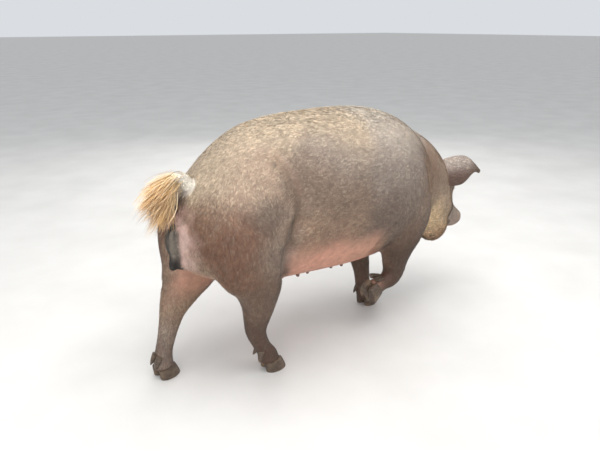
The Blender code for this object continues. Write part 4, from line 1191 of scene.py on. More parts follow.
def lie_of(points, normals, tail, ears):
    """The direction in which the coat lies at each point, along the surface."""
    x, y, z = points.T
    flow = np.tile(np.array((-1.0, 0.0, -0.32)), (len(points), 1))
    shoulder = smoothstep(0.62, 0.74, x) * faded(0.90, 1.0, x) * faded(0.62, 0.76, z)
    for share, aim in (
        (faded(0.02, 0.24, x), (-0.35, 0.0, -1.0)),
        (smoothstep(0.76, 0.84, z), (-1.0, 0.0, -0.05)),
        (shoulder, (-0.7, 0.0, -0.75)),
        (faded(0.30, 0.38, z), (-1.0, 0.0, 0.0)),
    ):
        flow = blend(flow, np.array(aim), share)
    for path in LIMB_PATHS:
        gaps = np.full(len(points), np.inf)
        aims = np.zeros((len(points), 3))
        shares = np.zeros(len(points))
        low, high = path[:, :3].min(axis=0) - 0.16, path[:, :3].max(axis=0) + 0.16
        near = np.flatnonzero(np.all((points > low) & (points < high), axis=1))
        for i in range(len(path) - 1):
            middle = (path[i, :3] + path[i + 1, :3]) / 2
            radius = (path[i, 3] + path[i, 4]) / 2
            gap = gap_from(points[near], middle) / radius
            better = gap < gaps[near]
            gaps[near[better]] = gap[better]
            ahead = path[i + 1, :3] - path[i, :3]
            aims[near[better]] = ahead / np.linalg.norm(ahead)
            shares[near[better]] = i / (len(path) - 1)
        weight = faded(1.15, 1.7, gaps) * smoothstep(0.12, 0.35, shares)
        flow = blend(flow, aims + np.array((-0.18, 0.0, -0.1)), weight)
    below = smoothstep(0.06, 0.22, -to_head(points)[:, 2])
    aim = np.column_stack([-np.ones(len(points)), 0.35 * np.sign(y), -0.20 - 0.9 * below])
    flow = blend(flow, aim @ HEAD_TURN.T, on_head(-0.03, 0.10, points) * (x > HEAD_FROM_X))
    for side in (1, -1):
        flow = blend(flow, np.array(ear_frame(side)[1]), ears * (np.sign(y - HEAD_AT.y) == side))
    ahead = np.gradient(TAIL_PATH[:, :3], axis=0)[nearest_on_tail(points)[2]]
    flow = blend(flow, ahead / size_of(ahead)[:, None], tail)
    swirl = np.zeros(len(points))
    for side in (1, -1):
        away = points - np.array((0.115, 0.235 * side, 0.60))
        swirl -= 1.5 * side * np.exp(-np.sum(away**2, axis=1) / 0.075**2)
    wander = (lattice(points, 9.0, 11) - 0.5) * 0.7 + (cell_values(points, 0.011, 5) - 0.5) * 0.45
    return turned(flow, normals, swirl + wander)


def turned(flow, normals, angle):
    flow = flow - normals * np.sum(flow * normals, axis=1)[:, None]
    size = size_of(flow)
    flow = flow / np.maximum(size, 1e-9)[:, None]
    across = np.cross(normals, flow)
    return flow * np.cos(angle)[:, None] + across * np.sin(angle)[:, None]


def coat_sizes(points, bare, tail, ears):
    """Length and width of a tuft, and how thickly the tufts grow."""
    x, _, z = points.T
    length = 0.0100 + 0.005 * smoothstep(0.78, 0.85, z)
    length += 0.001 * faded(0.0, 0.15, x)
    lower = faded(0.12, 0.32, z)
    length = length * (1 - 0.30 * lower)
    head = on_head(-0.02, 0.12, points) * (x > HEAD_FROM_X)
    muzzle = on_head(0.16, 0.32, points)
    throat = smoothstep(0.10, 0.20, -to_head(points)[:, 2])
    length = length * (1 - head) + head * (0.0100 - 0.0050 * muzzle + 0.0040 * throat * (1 - muzzle))
    length = length * (1 - ears) + 0.0062 * ears
    length = length * (1 - tail) + 0.0080 * tail
    length = length * (1 - 0.35 * bare)
    width = 0.00050 + length * 0.050
    dense = 1.0 + 1.6 * head + 0.9 * muzzle * head + 1.8 * ears + 2.4 * tail + 0.9 * lower
    return length, width, dense * (1 - 0.93 * bare) * faded(0.90, 0.99, bare)


def paint(mesh, tones):
    """Keeps one colour for each vertex, in the attribute that the materials read."""
    colours = np.ones((len(mesh.vertices), 4), np.float32)
    colours[:, :3] = tones.reshape(-1, 3)
    mesh.attributes.new("hide", "FLOAT_COLOR", "POINT").data.foreach_set("color", colours.ravel())


def triangles_of(mesh, part="vertices"):
    mesh.calc_loop_triangles()
    flat = np.empty(len(mesh.loop_triangles) * 3, np.int64)
    mesh.loop_triangles.foreach_get(part, flat)
    return flat.reshape(-1, 3)


def unwrapped_copy():
    """A coarse copy of the skin with an unwrap, for the places of the tufts on their own map."""
    copy = bpy.data.objects.new("unwrap", skin.data.copy())
    SCENE.collection.objects.link(copy)
    thin = copy.modifiers.new("thin", "DECIMATE")
    thin.ratio = MAP_TRIANGLES / max(len(copy.data.polygons) * 2, MAP_TRIANGLES)
    applied(copy)
    for other in SCENE.objects:
        other.select_set(False)
    copy.select_set(True)
    bpy.context.view_layer.objects.active = copy
    bpy.ops.object.mode_set(mode="EDIT")
    bpy.ops.mesh.select_all(action="SELECT")
    bpy.ops.uv.smart_project(angle_limit=math.radians(66.0), island_margin=0.004)
    bpy.ops.object.mode_set(mode="OBJECT")
    mesh = copy.data
    place = np.empty(len(mesh.loops) * 2)
    mesh.uv_layers.active.data.foreach_get("uv", place)
    points, tris = co_of(mesh), triangles_of(mesh)
    tree = BVHTree.FromPolygons([tuple(p) for p in points], [tuple(t) for t in tris])
    uvs = place.reshape(-1, 2)[triangles_of(mesh, "loops")]
    bpy.data.objects.remove(copy, do_unlink=True)
    return tree, points[tris], uvs


def places_on_map(roots, unwrap):
    tree, corners, uvs = unwrap
    which = np.empty(len(roots), np.int64)
    spots = np.empty((len(roots), 3))
    for i, root in enumerate(roots):
        at, _, index, _ = tree.find_nearest(root)
        which[i] = index
        spots[i] = at
    a, b, c = corners[which, 0], corners[which, 1], corners[which, 2]
    ab, ac, ap = b - a, c - a, spots - a
    d00, d01, d11 = np.sum(ab * ab, axis=1), np.sum(ab * ac, axis=1), np.sum(ac * ac, axis=1)
    d20, d21 = np.sum(ap * ab, axis=1), np.sum(ap * ac, axis=1)
    under = np.maximum(d00 * d11 - d01 * d01, 1e-18)
    v = np.clip((d11 * d20 - d01 * d21) / under, 0, 1)
    w = np.clip((d00 * d21 - d01 * d20) / under, 0, 1)
    u = 1 - v - w
    chosen = uvs[which]
    return chosen[:, 0] * u[:, None] + chosen[:, 1] * v[:, None] + chosen[:, 2] * w[:, None]


def strands(name, rows, half_widths, across, normals, tones, places, material):
    """One mesh of many thin blades. `rows` holds the middle points of each: (number, stations, 3)."""
    count, stations, _ = rows.shape
    facing_up = np.sum(np.cross(rows[:, -1] - rows[:, 0], across) * normals, axis=1)
    across = across * np.where(facing_up < 0, -1.0, 1.0)[:, None]
    left = rows[:, :-1] - across[:, None, :] * half_widths[:, :-1, None]
    right = rows[:, :-1] + across[:, None, :] * half_widths[:, :-1, None]
    each = 2 * (stations - 1) + 1
    points = np.empty((count, each, 3), np.float32)
    points[:, 0 : each - 1 : 2] = left
    points[:, 1 : each - 1 : 2] = right
    points[:, -1] = rows[:, -1]
    pattern = []
    for s in range(stations - 2):
        a = 2 * s
        pattern += [(a, a + 3, a + 1), (a, a + 2, a + 3)]
    last = 2 * (stations - 2)
    pattern.append((last, each - 1, last + 1))
    pattern = np.array(pattern, np.int32)
    faces = (pattern[None] + (np.arange(count, dtype=np.int32) * each)[:, None, None]).reshape(-1, 3)
    mesh = bpy.data.meshes.new(name)
    mesh.vertices.add(count * each)
    mesh.vertices.foreach_set("co", points.ravel())
    mesh.loops.add(len(faces) * 3)
    mesh.loops.foreach_set("vertex_index", faces.ravel())
    mesh.polygons.add(len(faces))
    mesh.polygons.foreach_set("loop_start", np.arange(0, len(faces) * 3, 3, dtype=np.int32))
    mesh.update(calc_edges=True)
    mesh.polygons.foreach_set("use_smooth", np.ones(len(faces), bool))
    share = np.append(np.repeat(np.linspace(0, 1, stations)[:-1], 2), 1.0)
    low, high = tones
    paint(mesh, low[:, None, :] * (1 - share[None, :, None]) + high[:, None, :] * share[None, :, None])
    facing = mesh.attributes.new("custom_normal", "FLOAT_VECTOR", "POINT")
    facing.data.foreach_set("vector", np.repeat(normals, each, axis=0).astype(np.float32).ravel())
    layer = mesh.uv_layers.new(name="OFBake")
    side = np.zeros(each)
    side[0 : each - 1 : 2] = -0.5
    side[1 : each - 1 : 2] = 0.5
    spots = np.empty((count, each, 2), np.float32)
    spots[:, :, 0] = places[:, None, 0] + side[None, :] * PATCH
    spots[:, :, 1] = places[:, None, 1] + (share[None, :] - 0.5) * PATCH
    layer.data.foreach_set("uv", spots.reshape(-1, 2)[faces.ravel()].ravel())
    mesh.materials.append(material)
    made = bpy.data.objects.new(name, mesh)
    SCENE.collection.objects.link(made)
    return made


def stroke_values(points, lie, salt):
    """One random value for each small patch of coat, long patches along the lie of the hair."""
    loose = points + 0.0030 * (np.column_stack([lattice(points, 160.0, salt + k) for k in range(3)]) - 0.5)
    level = cell_values(loose * np.array((0.42, 1.0, 1.15)), STROKE_SIZE, salt)
    upright = cell_values(loose * np.array((1.15, 1.0, 0.42)), STROKE_SIZE, salt + 1)
    return np.where(np.abs(lie[:, 0]) > np.abs(lie[:, 2]), level, upright)


def coat_tones(tones, stroke, kind):
    """The tone at the root and at the tip of each tuft, grizzled with pale and dark hairs."""
    count = len(tones)
    bright = (STROKE_LOW + STROKE_SPAN * stroke) * DRAW.uniform(0.80, 1.22, count)
    level = np.clip(tones.mean(axis=1) / 0.30, 0.30, 1.25)
    tip_tone = tones * bright[:, None]
    pale = tip_tone * 0.42 + CREAM * (0.55 * level)[:, None]
    tip_tone = np.where((kind < 0.24)[:, None], pale, tip_tone)
    dark = tip_tone * 0.42 + DARK_HAIR * 0.25
    tip_tone = np.where((kind > 0.84)[:, None], dark, tip_tone)
    return tip_tone * 0.46 + tones * 0.06, tip_tone


def grown_coat(material, unwrap):
    """Short blades over the trunk and legs, and finer, curved ones over the head, ears and tail."""
    mesh = skin.data
    tris = triangles_of(mesh)
    points, normals = co_of(mesh), normals_of(mesh)
    colour, bare, tail, ears = markings(points, normals)
    _, _, dense = coat_sizes(points, bare, tail, ears)
    on_map = places_on_map(points, unwrap)
    middles = points[tris].mean(axis=1)
    first, second = points[tris[:, 1]] - points[tris[:, 0]], points[tris[:, 2]] - points[tris[:, 0]]
    area = size_of(np.cross(first, second)) / 2
    above_claws = (middles[:, 2] > CLAWS_TOP) | (np.abs(middles[:, 0] - LIFTED_FOOT_X) < 0.12)
    weight = area * dense[tris].mean(axis=1) * above_claws
    head = on_head(-0.03, 0.03, points) * (points[:, 0] > HEAD_FROM_X)
    fine = np.maximum(np.maximum(head, tail), ears)[tris].mean(axis=1)
    pieces = []
    for count, stations, weights in ((BODY_TUFTS, 2, weight * (1 - fine)), (FINE_TUFTS, 3, weight * fine)):
        total = np.cumsum(weights)
        pick = np.minimum(np.searchsorted(total, DRAW.random(count) * total[-1]), len(tris) - 1)
        r, s = DRAW.random((2, count))
        flip = r + s > 1
        r[flip], s[flip] = 1 - r[flip], 1 - s[flip]
        share = np.stack([1 - r - s, r, s], axis=1)
        chosen = tris[pick]
        roots, up, tones, place = (
            np.sum(values[chosen] * share[:, :, None], axis=1) for values in (points, normals, colour, on_map)
        )
        on_tail, on_ears, on_bare = (np.sum(values[chosen] * share, axis=1) for values in (tail, ears, bare))
        whole = np.ptp(on_map[chosen], axis=1).max(axis=1) < MAP_SPAN
        place = np.where(whole[:, None], place, on_map[chosen[:, 0]])
        up /= size_of(up)[:, None]
        lie = turned(lie_of(roots, up, on_tail, on_ears), up, DRAW.normal(0, TUFT_STRAY, count))
        length, width, _ = coat_sizes(roots, on_bare, on_tail, on_ears)
        stroke = stroke_values(roots, lie, 9)
        length *= DRAW.uniform(0.66, 1.20, count) * (0.85 + 0.3 * stroke)
        width *= DRAW.uniform(0.75, 1.25, count)
        lean = np.clip(DRAW.normal(0.24, 0.08, count) + 0.12 * (stroke - 0.5), 0.06, 0.55)
        roll = DRAW.normal(0, TUFT_ROLL, count)
        across = np.cross(up, lie)
        across = across * np.cos(roll)[:, None] + up * np.sin(roll)[:, None]
        aside = across * (DRAW.normal(0, 0.10, count) * length)[:, None]
        base = roots - up * TUFT_SUNK
        tip = base + lie * (length * np.cos(lean * 0.8))[:, None]
        tip = tip + up * (length * np.sin(lean * 0.8) * 0.92)[:, None] + aside
        if stations == 3:
            middle = base + lie * (length * 0.52 * np.cos(lean))[:, None]
            middle += up * (length * 0.62 * np.sin(lean))[:, None] + aside * 0.35
            rows = np.stack([base, middle, tip], axis=1)
            half = np.stack([width * 0.5, width * 0.42, width * 0], axis=1)
        else:
            rows = np.stack([base, tip], axis=1)
            half = np.stack([width * 0.55, width * 0], axis=1)
        kind = np.where(DRAW.random(count) < 0.5, stroke_values(roots, lie, 21), DRAW.random(count))
        low, high = coat_tones(tones, stroke, kind)
        each = TRIANGLES_IN_A_PIECE // (2 * stations - 3)
        for start in range(0, count, each):
            take = slice(start, start + each)
            name = f"coat_{len(pieces) + 1}"
            low_high = (low[take], high[take])
            sides = (across[take], up[take])
            pieces.append(strands(name, rows[take], half[take], *sides, low_high, place[take], material))
    return pieces


def tail_hair(material, unwrap):
    """Long golden hair in clumps, fanning from the back of the curl round to its hanging tip."""
    draw = np.random.default_rng(SEED + 4)
    path = TAIL_PATH
    stations = 8
    rows, widths, sides, tones, roots, faces = [], [], [], [], [], []
    for _ in range(SWITCH_CLUMPS):
        share = SWITCH_FROM + (1 - SWITCH_FROM) * draw.random()
        at = share * (len(path) - 1)
        row = path[int(at)]
        ahead = path[min(int(at) + 1, len(path) - 1), :3] - path[int(at) - 1, :3]
        along = Vector(ahead).normalized()
        turn = draw.uniform(0, 2 * math.pi)
        aside = Vector((math.cos(turn), math.sin(turn), 0.3 * math.sin(2 * turn)))
        hang = (share - SWITCH_FROM) / (1 - SWITCH_FROM)
        aim = (SWITCH_BACK.lerp(SWITCH_DOWN, hang) + along * 0.15 + aside * 0.24).normalized()
        length = (SWITCH_LENGTHS[0] * (1 - hang) + SWITCH_LENGTHS[1] * hang) * draw.uniform(0.62, 1.0)
        bend = Vector(draw.normal(0, 0.014, 3))
        warm = draw.uniform(0.0, 1.0)
        side = aim.cross(Vector((0, 0, 1)))
        side = side.normalized() if side.length > 0.05 else Vector((0, 1, 0))
        over = side.cross(aim)
        for _ in range(SWITCH_HAIRS):
            spread = draw.normal(0, 1, 2)
            start = Vector(row[:3]) + (side * spread[0] + over * spread[1]) * row[3] * 0.50 - aim * 0.004
            reach = length * draw.uniform(0.55, 1.0)
            fan = (side * spread[0] + over * spread[1] * 0.6) * 0.0080
            wave = draw.uniform(0, 6.28)
            line = []
            for i in range(stations):
                s = i / (stations - 1)
                point = start + aim * (reach * s) + bend * (s * s) + Vector((0, 0, -0.017 * s**2))
                point += fan * math.sin(s * 2.4) + side * (0.0016 * math.sin(wave + 7 * s) * s)
                line.append(point)
            rows.append(line)
            thick = draw.uniform(0.00045, 0.00085)
            widths.append([thick * (1 - 0.35 * i / (stations - 1)) for i in range(stations)])
            roll = draw.uniform(-1.2, 1.2)
            sides.append(side * math.cos(roll) + over * math.sin(roll))
            faces.append(-over if over.z < 0 else over)
            gold = SWITCH_GOLD * (1 - warm) + SWITCH_CREAM * warm
            shade = gold * draw.uniform(0.70, 1.15)
            tones.append((shade * 0.95, shade * 0.62 + SWITCH_DEEP * 0.36))
            roots.append(start)
    rows = np.array([[tuple(p) for p in line] for line in rows])
    low, high = np.array(tones).transpose(1, 0, 2)
    sides, faces, places = as_rows(sides), as_rows(faces), places_on_map(as_rows(roots), unwrap)
    return strands("tail_switch", rows, np.array(widths), sides, faces, (low, high), places, material)


def bristles(name, roots, aims, lengths, widths, tones, material, unwrap):
    """Single stiff hairs that curve down a little."""
    stations = 6
    shares = np.linspace(0, 1, stations)
    aims = aims / size_of(aims)[:, None]
    rows = roots[:, None, :] + aims[:, None, :] * (lengths[:, None] * shares[None, :])[:, :, None]
    rows[:, :, 2] -= BRISTLE_DROOP * lengths[:, None] * shares[None, :] ** 2
    across = np.cross(aims, np.array((0.0, 0.0, 1.0)))
    across /= size_of(across)[:, None] + 1e-9
    facing = np.cross(aims, across)
    facing *= np.where(facing[:, 2] < 0, -1.0, 1.0)[:, None]
    halves = widths[:, None] * (1 - 0.6 * shares[None, :])
    return strands(name, rows, halves, across, facing, tones, places_on_map(roots, unwrap), material)


def face_hair(material, unwrap):
    """Pale lashes on the upper lids, and bristles on the brow, the chin and the sides of the snout."""
    draw = np.random.default_rng(SEED + 9)
    roots, aims, lengths, widths = [], [], [], []
    for side in (1, -1):
        place = eye_frame(side)
        for i in range(LASHES):
            angle = math.radians(22 + 136 * i / (LASHES - 1)) + draw.normal(0, 0.04)
            x = (LID_HALF_LENGTH + 0.0006) * math.cos(angle)
            y = (LID_HALF_HEIGHT + 0.0012) * math.sin(angle)
            z = math.sqrt(max(LID_BULGE**2 - x * x - y * y, 1e-6)) - 0.0006
            roots.append(place @ Vector((x, y, z)))
            aim = Vector((x * 38 + draw.normal(0, 0.1), 0.30, 1.0 + draw.normal(0, 0.1)))
            aims.append(place.to_3x3() @ aim)
            lengths.append(draw.uniform(0.009, 0.014))
            widths.append(0.00022)
        for i in range(BRISTLES):
            u = draw.uniform(0, 1)
            if i < CHIN_BRISTLES:
                spot = Vector((draw.uniform(0.215, 0.335), side * draw.uniform(0.0, 0.06), -0.12))
                aim = Vector((0.35, side * 0.35, -1.0))
            elif i < CHIN_BRISTLES + SNOUT_BRISTLES:
                spot = Vector((draw.uniform(0.25, 0.345), side * 0.12, draw.uniform(-0.045, 0.03)))
                aim = Vector((0.45, side * 1.0, -0.2))
            else:
                spot = Vector((draw.uniform(0.10, 0.16), side * draw.uniform(0.055, 0.10), 0.13))
                aim = Vector((-0.35, side * 0.45, 1.0))
            at = skin.closest_point_on_mesh(head_place() @ spot)[1]
            roots.append(at)
            aims.append(head_place().to_3x3() @ (aim + Vector(draw.normal(0, 0.22, 3))))
            lengths.append(draw.uniform(0.012, 0.024) * (0.75 + 0.25 * u))
            widths.append(draw.uniform(0.00020, 0.00032))
    count = len(roots)
    shade = draw.uniform(0.5, 1.05, count)[:, None]
    tones = (BRISTLE_LOW * shade * 0.7, BRISTLE_TIP * shade)
    lengths, widths = np.array(lengths), np.array(widths)
    return bristles("face_bristles", as_rows(roots), as_rows(aims), lengths, widths, tones, material, unwrap)


def cut_feet():
    """The skin ends at the coronet of each foot, just below the top of the claws."""
    cutters = new_collection("foot_cutters")
    for limb in LIMBS:
        corners = []
        for x in (-0.11, 0.11):
            top = CORONET_HEIGHT + CORONET_SLOPE * x - 0.002
            for y in (-0.08, 0.08):
                corners.append(foot_place(limb) @ Vector((x, y, top)))
                corners.append(foot_place(limb) @ Vector((x, y, -0.05)))
        faces = [(0, 1, 3, 2), (4, 6, 7, 5), (0, 4, 5, 1), (2, 3, 7, 6), (0, 2, 6, 4), (1, 5, 7, 3)]
        block = facing_out(add_mesh("foot", corners, faces, cutters))
        boolean(skin, block, "DIFFERENCE")
        bpy.data.objects.remove(block, do_unlink=True)


def claw_piece(limb, side, name, material):
    """One main claw, with a rounded wall, faint rings of growth and a flat sole."""
    rings = []
    shares = np.concatenate([np.linspace(0, 0.08, 4), np.linspace(0.12, 1.0, 18)])
    table = np.array(CLAW_SECTIONS)
    for share in shares:
        middle, half_length, width = [np.interp(share, table[:, 0], table[:, k]) for k in (1, 2, 3)]
        soften = 1 - 0.035 * faded(0.0, 0.08, share)
        ring = []
        for angle in circle(56):
            ahead = (1 + math.cos(angle)) / 2
            x = middle + half_length * soften * math.cos(angle)
            narrow = 1.0 - 0.36 * ahead**2.5
            bow = 1.0 if math.sin(angle) * side > 0 else 0.90
            growth = 0.00035 * math.sin(share * 31.0 + 1.3 * math.cos(angle)) * (share > 0.1)
            half = CLAW_HALF_WIDTH * width * narrow * bow * soften + growth
            y = side * CLAW_CENTRE + half * math.sin(angle)
            y -= side * 0.004 * ahead**2
            z = share * (CORONET_HEIGHT + CORONET_SLOPE * x + 0.001)
            ring.append(foot_place(limb) @ Vector((x, y, z)))
        rings.append(ring)
    made = loft(name, rings, SCENE.collection)
    for vert in made.data.vertices:
        if abs(vert.co.z) < 1e-5:
            vert.co.z = 0.0
    made.data.materials.append(material)
    smoothed(made, 40)
    return made


def dewclaw_piece(node, name, material):
    """A small claw behind the pastern: its solid's own place and length, with a rounded tip."""
    source = frame["nodes"][node]
    points = co_of(source.data) - np.array(BODY_SHIFT)
    centre = points.mean(axis=0)
    _, _, axes = np.linalg.svd(points - centre, full_matrices=False)
    along = axes[0] if axes[0][2] < 0 else -axes[0]
    reach = (points - centre) @ along
    start = centre + along * (reach.min() - 0.006)
    length = reach.max() - reach.min() + 0.006
    side = np.cross(along, (0.0, 0.0, 1.0))
    side /= np.linalg.norm(side)
    over = np.cross(side, along)
    rings = []
    for share in np.linspace(0, 1, 16):
        radius = 0.0112 * math.sqrt(max(1 - (share * 0.985) ** 2.6, 0.0008)) * (1 - 0.30 * share)
        radius += 0.0002 * math.sin(share * 40)
        middle = start + along * length * share
        wide, deep = side * radius, over * radius
        ring = [middle + wide * math.cos(a) * 1.05 + deep * math.sin(a) * 0.86 for a in circle(28)]
        rings.append([Vector(p) for p in ring])
    made = loft(name, rings, SCENE.collection)
    made.data.materials.append(material)
    smoothed(made, 50)
    return made


def eye_piece(side, name, material):
    """An eyeball with its clear bulge, its tones held as shares of the distance from the pupil."""
    work = bmesh.new()
    bmesh.ops.create_uvsphere(work, u_segments=64, v_segments=48, radius=1.0)
    made = written(work, name, SCENE.collection)
    points = co_of(made.data)
    x, y, z = points.T
    ring = np.degrees(np.arccos(np.clip(z, -1, 1)))
    bulge = 1 + 0.022 * np.exp(-((ring / 30.0) ** 2))
    pupil = faded(0.17, 0.22, np.hypot(x / 1.25, y))
    reach = np.hypot(x, y)
    turn = np.arctan2(y, x)
    rays = 0.8 + 0.4 * np.abs(np.sin(turn * 19.0 + np.sin(turn * 7.0) * 2))
    edge = np.exp(-(((reach - 0.58) / 0.07) ** 2))
    shade = IRIS_TONE * rays[:, None] * (1 - 0.75 * edge)[:, None]
    shade = blend(shade, EYE_WHITE, smoothstep(0.60, 0.70, reach))
    paint(made.data, blend(shade, PUPIL_LEVEL, pupil))
    set_co(made.data, points * bulge[:, None] * EYE_RADIUS * 0.985)
    made.data.transform(eye_frame(side))
    made.data.materials.append(material)
    smoothed(made, 180)
    return made


def smoothed(made, degrees):
    made.data.polygons.foreach_set("use_smooth", np.ones(len(made.data.polygons), bool))
    if degrees < 90:
        made.data.set_sharp_from_angle(angle=math.radians(degrees))


# Materials.


def put(socket, value):
    """A plain value, or the output of another node."""
    if isinstance(value, bpy.types.NodeSocket):
        socket.id_data.links.new(value, socket)
    else:
        socket.default_value = value


class Look:
    """A material, built node by node around its main shader."""

    def __init__(self, name):
        self.material = bpy.data.materials.new(name)
        self.material.use_nodes = True
        self.nodes = self.material.node_tree.nodes

    def add(self, kind, output, inputs):
        node = self.nodes.new(kind)
        for name, value in inputs.items():
            put(node.inputs[name], value)
        return node.outputs[output]

    def painted(self):
        node = self.nodes.new("ShaderNodeAttribute")
        node.attribute_name = "hide"
        return node.outputs["Color"]

    def mix(self, kind, share, first, second):
        node = self.nodes.new("ShaderNodeMix")
        node.data_type = "RGBA"
        node.blend_type = kind
        for slot, value in ((0, share), (6, first), (7, second)):
            put(node.inputs[slot], value)
        return node.outputs[2]

    def times(self, colour, value):
        grey = self.add("ShaderNodeCombineColor", 0, {"Red": value, "Green": value, "Blue": value})
        return self.mix("MULTIPLY", 1.0, colour, grey)

    def noise(self, scale, detail, span=(0.0, 1.0), to=(0.0, 1.0), stretch=None):
        place = self.nodes.new("ShaderNodeTexCoord").outputs["Object"]
        if stretch:
            place = self.add("ShaderNodeMapping", "Vector", {"Scale": stretch, "Vector": place})
        noise = self.add("ShaderNodeTexNoise", "Fac", {"Scale": scale, "Detail": detail, "Vector": place})
        limits = dict(zip(("From Min", "From Max", "To Min", "To Max"), (*span, *to)))
        return self.add("ShaderNodeMapRange", "Result", {**limits, "Value": noise})

    def bump(self, height, strength, distance, **below):
        inputs = {"Strength": strength, "Distance": distance, "Height": height, **below}
        return self.add("ShaderNodeBump", "Normal", inputs)

    def done(self, inputs):
        for name, value in inputs.items():
            put(self.nodes["Principled BSDF"].inputs[name], value)
        return self.material


def skin_material():
    look = Look("sow_hide")
    colour = look.times(look.painted(), look.noise(46.0, 4.0, (0.3, 0.7), (0.82, 1.14)))
    coarse = look.bump(look.noise(210.0, 5.0, stretch=(1.0, 1.0, 0.55)), 0.45, 0.0016)
    return look.done(
        {
            "Base Color": look.times(colour, look.noise(900.0, 3.0, (0.35, 0.65), (0.86, 1.10))),
            "Roughness": look.noise(120.0, 3.0, (0.3, 0.7), (0.48, 0.68)),
            "Normal": look.bump(look.noise(1100.0, 2.0), 0.35, 0.0005, Normal=coarse),
            "Specular IOR Level": 0.40,
            "Subsurface Weight": 0.10,
            "Subsurface Radius": (0.9, 0.35, 0.22),
            "Subsurface Scale": 0.004,
        }
    )


def hair_material(name, roughness, sheen):
    look = Look(name)
    return look.done(
        {
            "Base Color": look.times(look.painted(), look.noise(260.0, 2.0, (0.3, 0.7), (0.90, 1.10))),
            "Roughness": look.noise(90.0, 2.0, (0.3, 0.7), (roughness - 0.06, roughness + 0.08)),
            "Specular IOR Level": 0.32,
            "Sheen Weight": sheen,
            "Sheen Roughness": 0.5,
        }
    )


def claw_material():
    look = Look("claw_horn")
    horn_tone, band_tone, dust_tone = ((*shade, 1.0) for shade in (HORN_TONE, HORN_BAND, HORN_DUST))
    bands = look.noise(60.0, 4.0, (0.25, 0.75), stretch=(1.0, 1.0, 6.0))
    banded = look.mix("MIX", bands, horn_tone, band_tone)
    return look.done(
        {
            "Base Color": look.mix("MIX", look.noise(24.0, 5.0, (0.45, 0.75)), banded, dust_tone),
            "Roughness": look.noise(80.0, 3.0, (0.3, 0.7), (0.42, 0.66)),
            "Normal": look.bump(look.noise(240.0, 4.0, stretch=(0.6, 0.6, 3.0)), 0.4, 0.0006),
        }
    )


def eye_material():
    look = Look("eye_wet")
    return look.done(
        {
            "Base Color": look.times(look.painted(), look.noise(700.0, 2.0, (0.3, 0.7), (0.75, 1.2))),
            "Roughness": look.noise(300.0, 2.0, (0.3, 0.7), (0.04, 0.09)),
            "Coat Weight": 1.0,
            "Coat Roughness": 0.02,
        }
    )


def darkened(tones, share):
    return tones * (1 - share)[:, None]


def painted_skin():
    """The tones of the bare skin, and of the skin under the coat, with painted shade in the nostrils, along the
    mouth, in the opening of the anus and in the slit and folds of the vulva, and a painted highlight along its
    rim.
    """
    points, normals = co_of(skin.data), normals_of(skin.data)
    y, z = points[:, 1], points[:, 2]
    colour, bare, _, ears = markings(points, normals)
    patches = lattice(points, 60.0, 31) * 0.5 + lattice(points, 150.0, 32) * 0.5
    muzzle = on_head(0.20, 0.30, points) * (points[:, 0] > SNOUT_FROM_X)
    pinkness = np.clip(bare * 0.85 + 0.15, 0, 1) * (1 - ears * 0.5) * (1 - 0.85 * muzzle)
    under = blend(colour * (0.50 + 0.40 * muzzle[:, None]), colour * 0.40 + PINK * 0.62, pinkness)
    snout = blend(SNOUT_TONE, SNOUT_DARK, 0.55 * patches)
    under = blend(under, snout, np.maximum(snout_disc(points), 0.6 * muzzle * patches))
    vulva, strip, anus = rear_masks(points)
    under = blend(under, MAUVE * (0.86 + 0.28 * patches[:, None]), strip)
    dark = blend(VULVA_TONE, VULVA_TIP, faded(0.425, 0.465, z)) * (0.62 + 0.76 * patches)[:, None]
    lengthways = lattice(points * np.array((1.0, 5.0, 0.6)), 40.0, 44)
    # The folds are painted as stripes of shade in the creases and of light on the ridges between them.
    painted_fold_shading = 0.5 + 0.5 * np.sin((y + 0.010 * lengthways) * math.tau / VULVA_FOLD_STEP)
    # A painted highlight runs along the rim above the darker tip.
    rim = np.exp(-(((z - VULVA_RIM_Z) / 0.006) ** 2))
    dark = dark * ((0.34 + 0.72 * painted_fold_shading) * (0.60 + 0.70 * lengthways) + 0.35 * rim)[:, None]
    under = blend(under, dark, vulva)
    # The darker skin of the anus, with painted shade in its opening.
    under = darkened(under, 0.55 * anus)
    # Painted shade along the slit of the vulva.
    under = darkened(under, 0.6 * faded(0.003, 0.013, distance_from(points, np.array(VULVA_SLIT))))
    local = to_head(points)
    for side in (1, -1):
        # Painted shade inside each nostril.
        hole = gap_from(local, mirrored(NOSTRIL_AT, side)) / 0.0125
        under = darkened(under, 0.85 * faded(0.75, 1.15, hole))
        lids = faded(0.0150, 0.0190, gap_from(points, eye_frame(side).translation))
        under = darkened(under, 0.72 * lids)
    # Painted shade along the line of the mouth.
    lips = [distance_from(local * np.array((1, side, 1)), smooth_rows(MOUTH, 4)) for side in (1, -1)]
    under = darkened(under, 0.60 * faded(0.0025, 0.0080, np.minimum(*lips)))
    for gap in teat_gaps(points):
        under = blend(under, TEAT_TONE, faded(0.009, 0.019, gap) * (z < 0.33))
    paint(skin.data, np.clip(under, 0, 1))


cut_feet()
skin.data.validate()
skin.name = "skin"
painted_skin()
skin.data.materials.clear()
skin.data.materials.append(skin_material())
smoothed(skin, 180)

coat_material = hair_material("sow_coat", 0.62, 0.10)
switch_material = hair_material("switch_hair", 0.50, 0.05)
horn = claw_material()
wet_eye = eye_material()

unwrap = unwrapped_copy()
coat = grown_coat(coat_material, unwrap)
switch = tail_hair(switch_material, unwrap)
whiskers = face_hair(coat_material, unwrap)

SIDES = ((1, "left"), (-1, "right"))
claws = {}
for limb in LIMBS:
    for side, word in SIDES:
        node = f"{limb}_claw_{word}"
        claws[node] = claw_piece(limb, side, f"horn_{node}", horn)
        node = f"{limb}_dewclaw_{word}"
        claws[node] = dewclaw_piece(node, f"horn_{node}", horn)
eyes = {f"eye_{word}": eye_piece(side, f"eyeball_{word}", wet_eye) for side, word in SIDES}

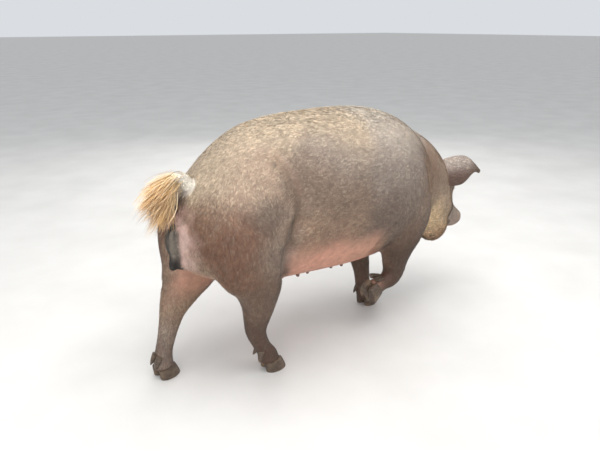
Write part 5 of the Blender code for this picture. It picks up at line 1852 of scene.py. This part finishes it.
shift = Matrix.Translation(BODY_SHIFT)
for piece in [skin, switch, whiskers, *coat, *claws.values(), *eyes.values()]:
    piece.data.transform(shift)
    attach(piece, "root")
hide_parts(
    "torso",
    "neck",
    "head",
    "ear_left",
    "ear_right",
    "tail",
    *[f"{limb}_{part}" for limb in LIMBS for part in ("upper", "lower")],
)
for node, piece in claws.items():
    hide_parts(node)
for node, piece in eyes.items():
    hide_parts(node)


# Floor, light and camera.


def floor_piece():
    half, z = 60.0, -0.0005
    corners = [(-half, -half, z), (half, -half, z), (half, half, z), (-half, half, z)]
    made = add_mesh("floor", corners, [(0, 1, 2, 3)], SCENE.collection)
    look = Look("floor_pale")
    soft = look.noise(3.0, 4.0, (0.3, 0.7))
    colour = look.mix("MIX", soft, (0.60, 0.59, 0.57, 1.0), (0.66, 0.65, 0.63, 1.0))
    made.data.materials.append(look.done({"Base Color": colour, "Roughness": 0.9}))


def area_light(name, place, target, size, power, colour):
    light = bpy.data.lights.new(name, "AREA")
    light.shape = "RECTANGLE"
    light.size, light.size_y = size
    light.energy = power
    light.color = colour
    made = bpy.data.objects.new(name, light)
    SCENE.collection.objects.link(made)
    made.location = place
    made.rotation_euler = (Vector(target) - Vector(place)).to_track_quat("-Z", "Y").to_euler()


floor_piece()
area_light("sky", (-0.2, -0.5, 3.2), (0, 0, 0.4), (3.8, 3.2), 124.0, (1.0, 0.985, 0.96))
area_light("front_fill", (-2.6, -2.8, 1.7), (0, 0, 0.4), (2.6, 2.2), 50.0, (0.98, 0.985, 1.0))
area_light("back_fill", (1.9, 2.8, 2.0), (0, 0, 0.4), (2.4, 2.0), 36.0, (1.0, 0.98, 0.95))
world = bpy.data.worlds.new("studio")
world.use_nodes = True
world.node_tree.nodes["Background"].inputs["Color"].default_value = (0.90, 0.93, 0.97, 1.0)
world.node_tree.nodes["Background"].inputs["Strength"].default_value = 0.78
SCENE.world = world

lens = bpy.data.cameras.new("photo_camera")
lens.sensor_width = 36.0
lens.lens = CAMERA_LENS
lens.clip_start = 0.05
camera = bpy.data.objects.new("photo_camera", lens)
SCENE.collection.objects.link(camera)
camera.location = CAMERA_AT + BODY_SHIFT
ahead = Vector(
    (
        -math.sin(CAMERA_AZIMUTH) * math.cos(CAMERA_DOWN),
        math.cos(CAMERA_AZIMUTH) * math.cos(CAMERA_DOWN),
        -math.sin(CAMERA_DOWN),
    )
)
camera.rotation_euler = ahead.to_track_quat("-Z", "Y").to_euler()
SCENE.camera = camera
SCENE.view_settings.view_transform = "Standard"
